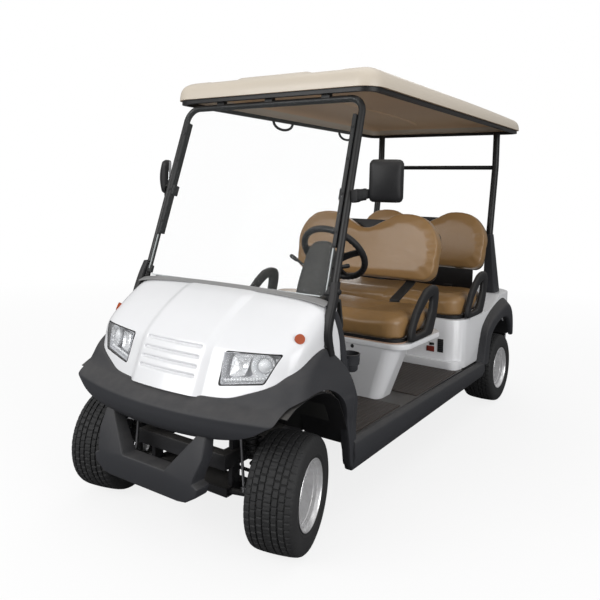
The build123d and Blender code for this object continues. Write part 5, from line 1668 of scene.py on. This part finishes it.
def ribbon(name, inset, base_z, top_z, shift):
    """An upright band that follows the front, sides and back of a cushion."""
    half = (cushion_high.x - cushion_low.x) / 2 - inset - trim_corner
    front = cushion_low.y + inset + shift + trim_corner
    rear = cushion_high.y - inset + shift - trim_corner
    ring = []
    for quarter, (x, y) in enumerate(((half, rear), (-half, rear), (-half, front), (half, front))):
        for step in range(trim_steps + 1):
            angle = pi / 2 * (quarter + step / trim_steps)
            ring.append((x + trim_corner * cos(angle), y + trim_corner * sin(angle)))
    ring.append(ring[0])
    rows = [[(x, y, z) for x, y in ring] for z in (base_z, (base_z + top_z) / 2, top_z)]
    band = grid_skin(name, rows)
    weld(0.0001)
    thicken(band, 0.004, 0, 40)
    return band


trim_coat = moulded("tan_trim", rgb(0.42, 0.27, 0.19), 0.45, 500, 0.0002)
# The black bands under the cushions are painted shade: the shadow line between cushion and base.
for mark, shift in (("front", 0.0), ("rear", row_pitch)):
    settle(ribbon("cushion_skirt_" + mark, 0.012, 0.652, 0.672, shift), "cart_body", black_plastic)
settle(ribbon("seat_piping", 0.006, 0.6515, 0.6565, 0.0), "cart_body", trim_coat)
lock = ((0.0, 0.012), (0.004, 0.012), (0.005, 0.0095), (0.002, 0.0085), (0.002, 0.001))
lock_place, lock_faces = (0.500, axle_y + 1.010, 0.634), (0.55, -0.83, 0.0)
seat_lock = turned("seat_locks", lock, lock_place, lock_faces, 28)
settle(seat_lock, "cart_body", nut_steel)


def plate(name, centre, size, edge, coat):
    """A thin block with rounded edges, fixed to the body."""
    block = unit_block(name)
    block.data.transform(Matrix.Diagonal((*size, 1)))
    block.data.transform(Matrix.Translation(centre))
    round_edges(edge, 2)
    bpy.ops.object.shade_smooth_by_angle(angle=radians(40))
    settle(block, "cart_body", coat)


wall_y = axle_y + 1.6895
vent_x = 0.428
plate("rear_vent", (vent_x, wall_y, 0.488), (0.036, 0.006, 0.082), 0.002, black_plastic)
for slat in range(6):
    slat_place = (vent_x, wall_y - 0.003, 0.458 + slat * 0.012)
    plate("vent_slat_%d" % slat, slat_place, (0.028, 0.004, 0.004), 0.001, charcoal)
dull_red = moulded("dull_red_lens", rgb(0.17, 0.022, 0.014), 0.30, 160, 0.0003, dust=0.05)
plate("rear_reflector", (0.364, wall_y, 0.461), (0.050, 0.005, 0.034), 0.0015, dull_red)
plate("reflector_cap", (0.372, wall_y, 0.492), (0.030, 0.005, 0.016), 0.0015, black_plastic)
catch = ((0.0, 0.011), (0.004, 0.011), (0.006, 0.008), (0.006, 0.001))
for mark, x in (("left", 0.262), ("right", -0.262)):
    knob = turned("base_catch_" + mark, catch, (x, axle_y + 0.892, 0.610), (0.0, -1.0, 0.0), 24)
    settle(knob, "cart_body", black_plastic)
plate("rear_back_sheet", (0.0, axle_y + 2.219, 0.830), (0.860, 0.006, 0.160), 0.002, black_plastic)
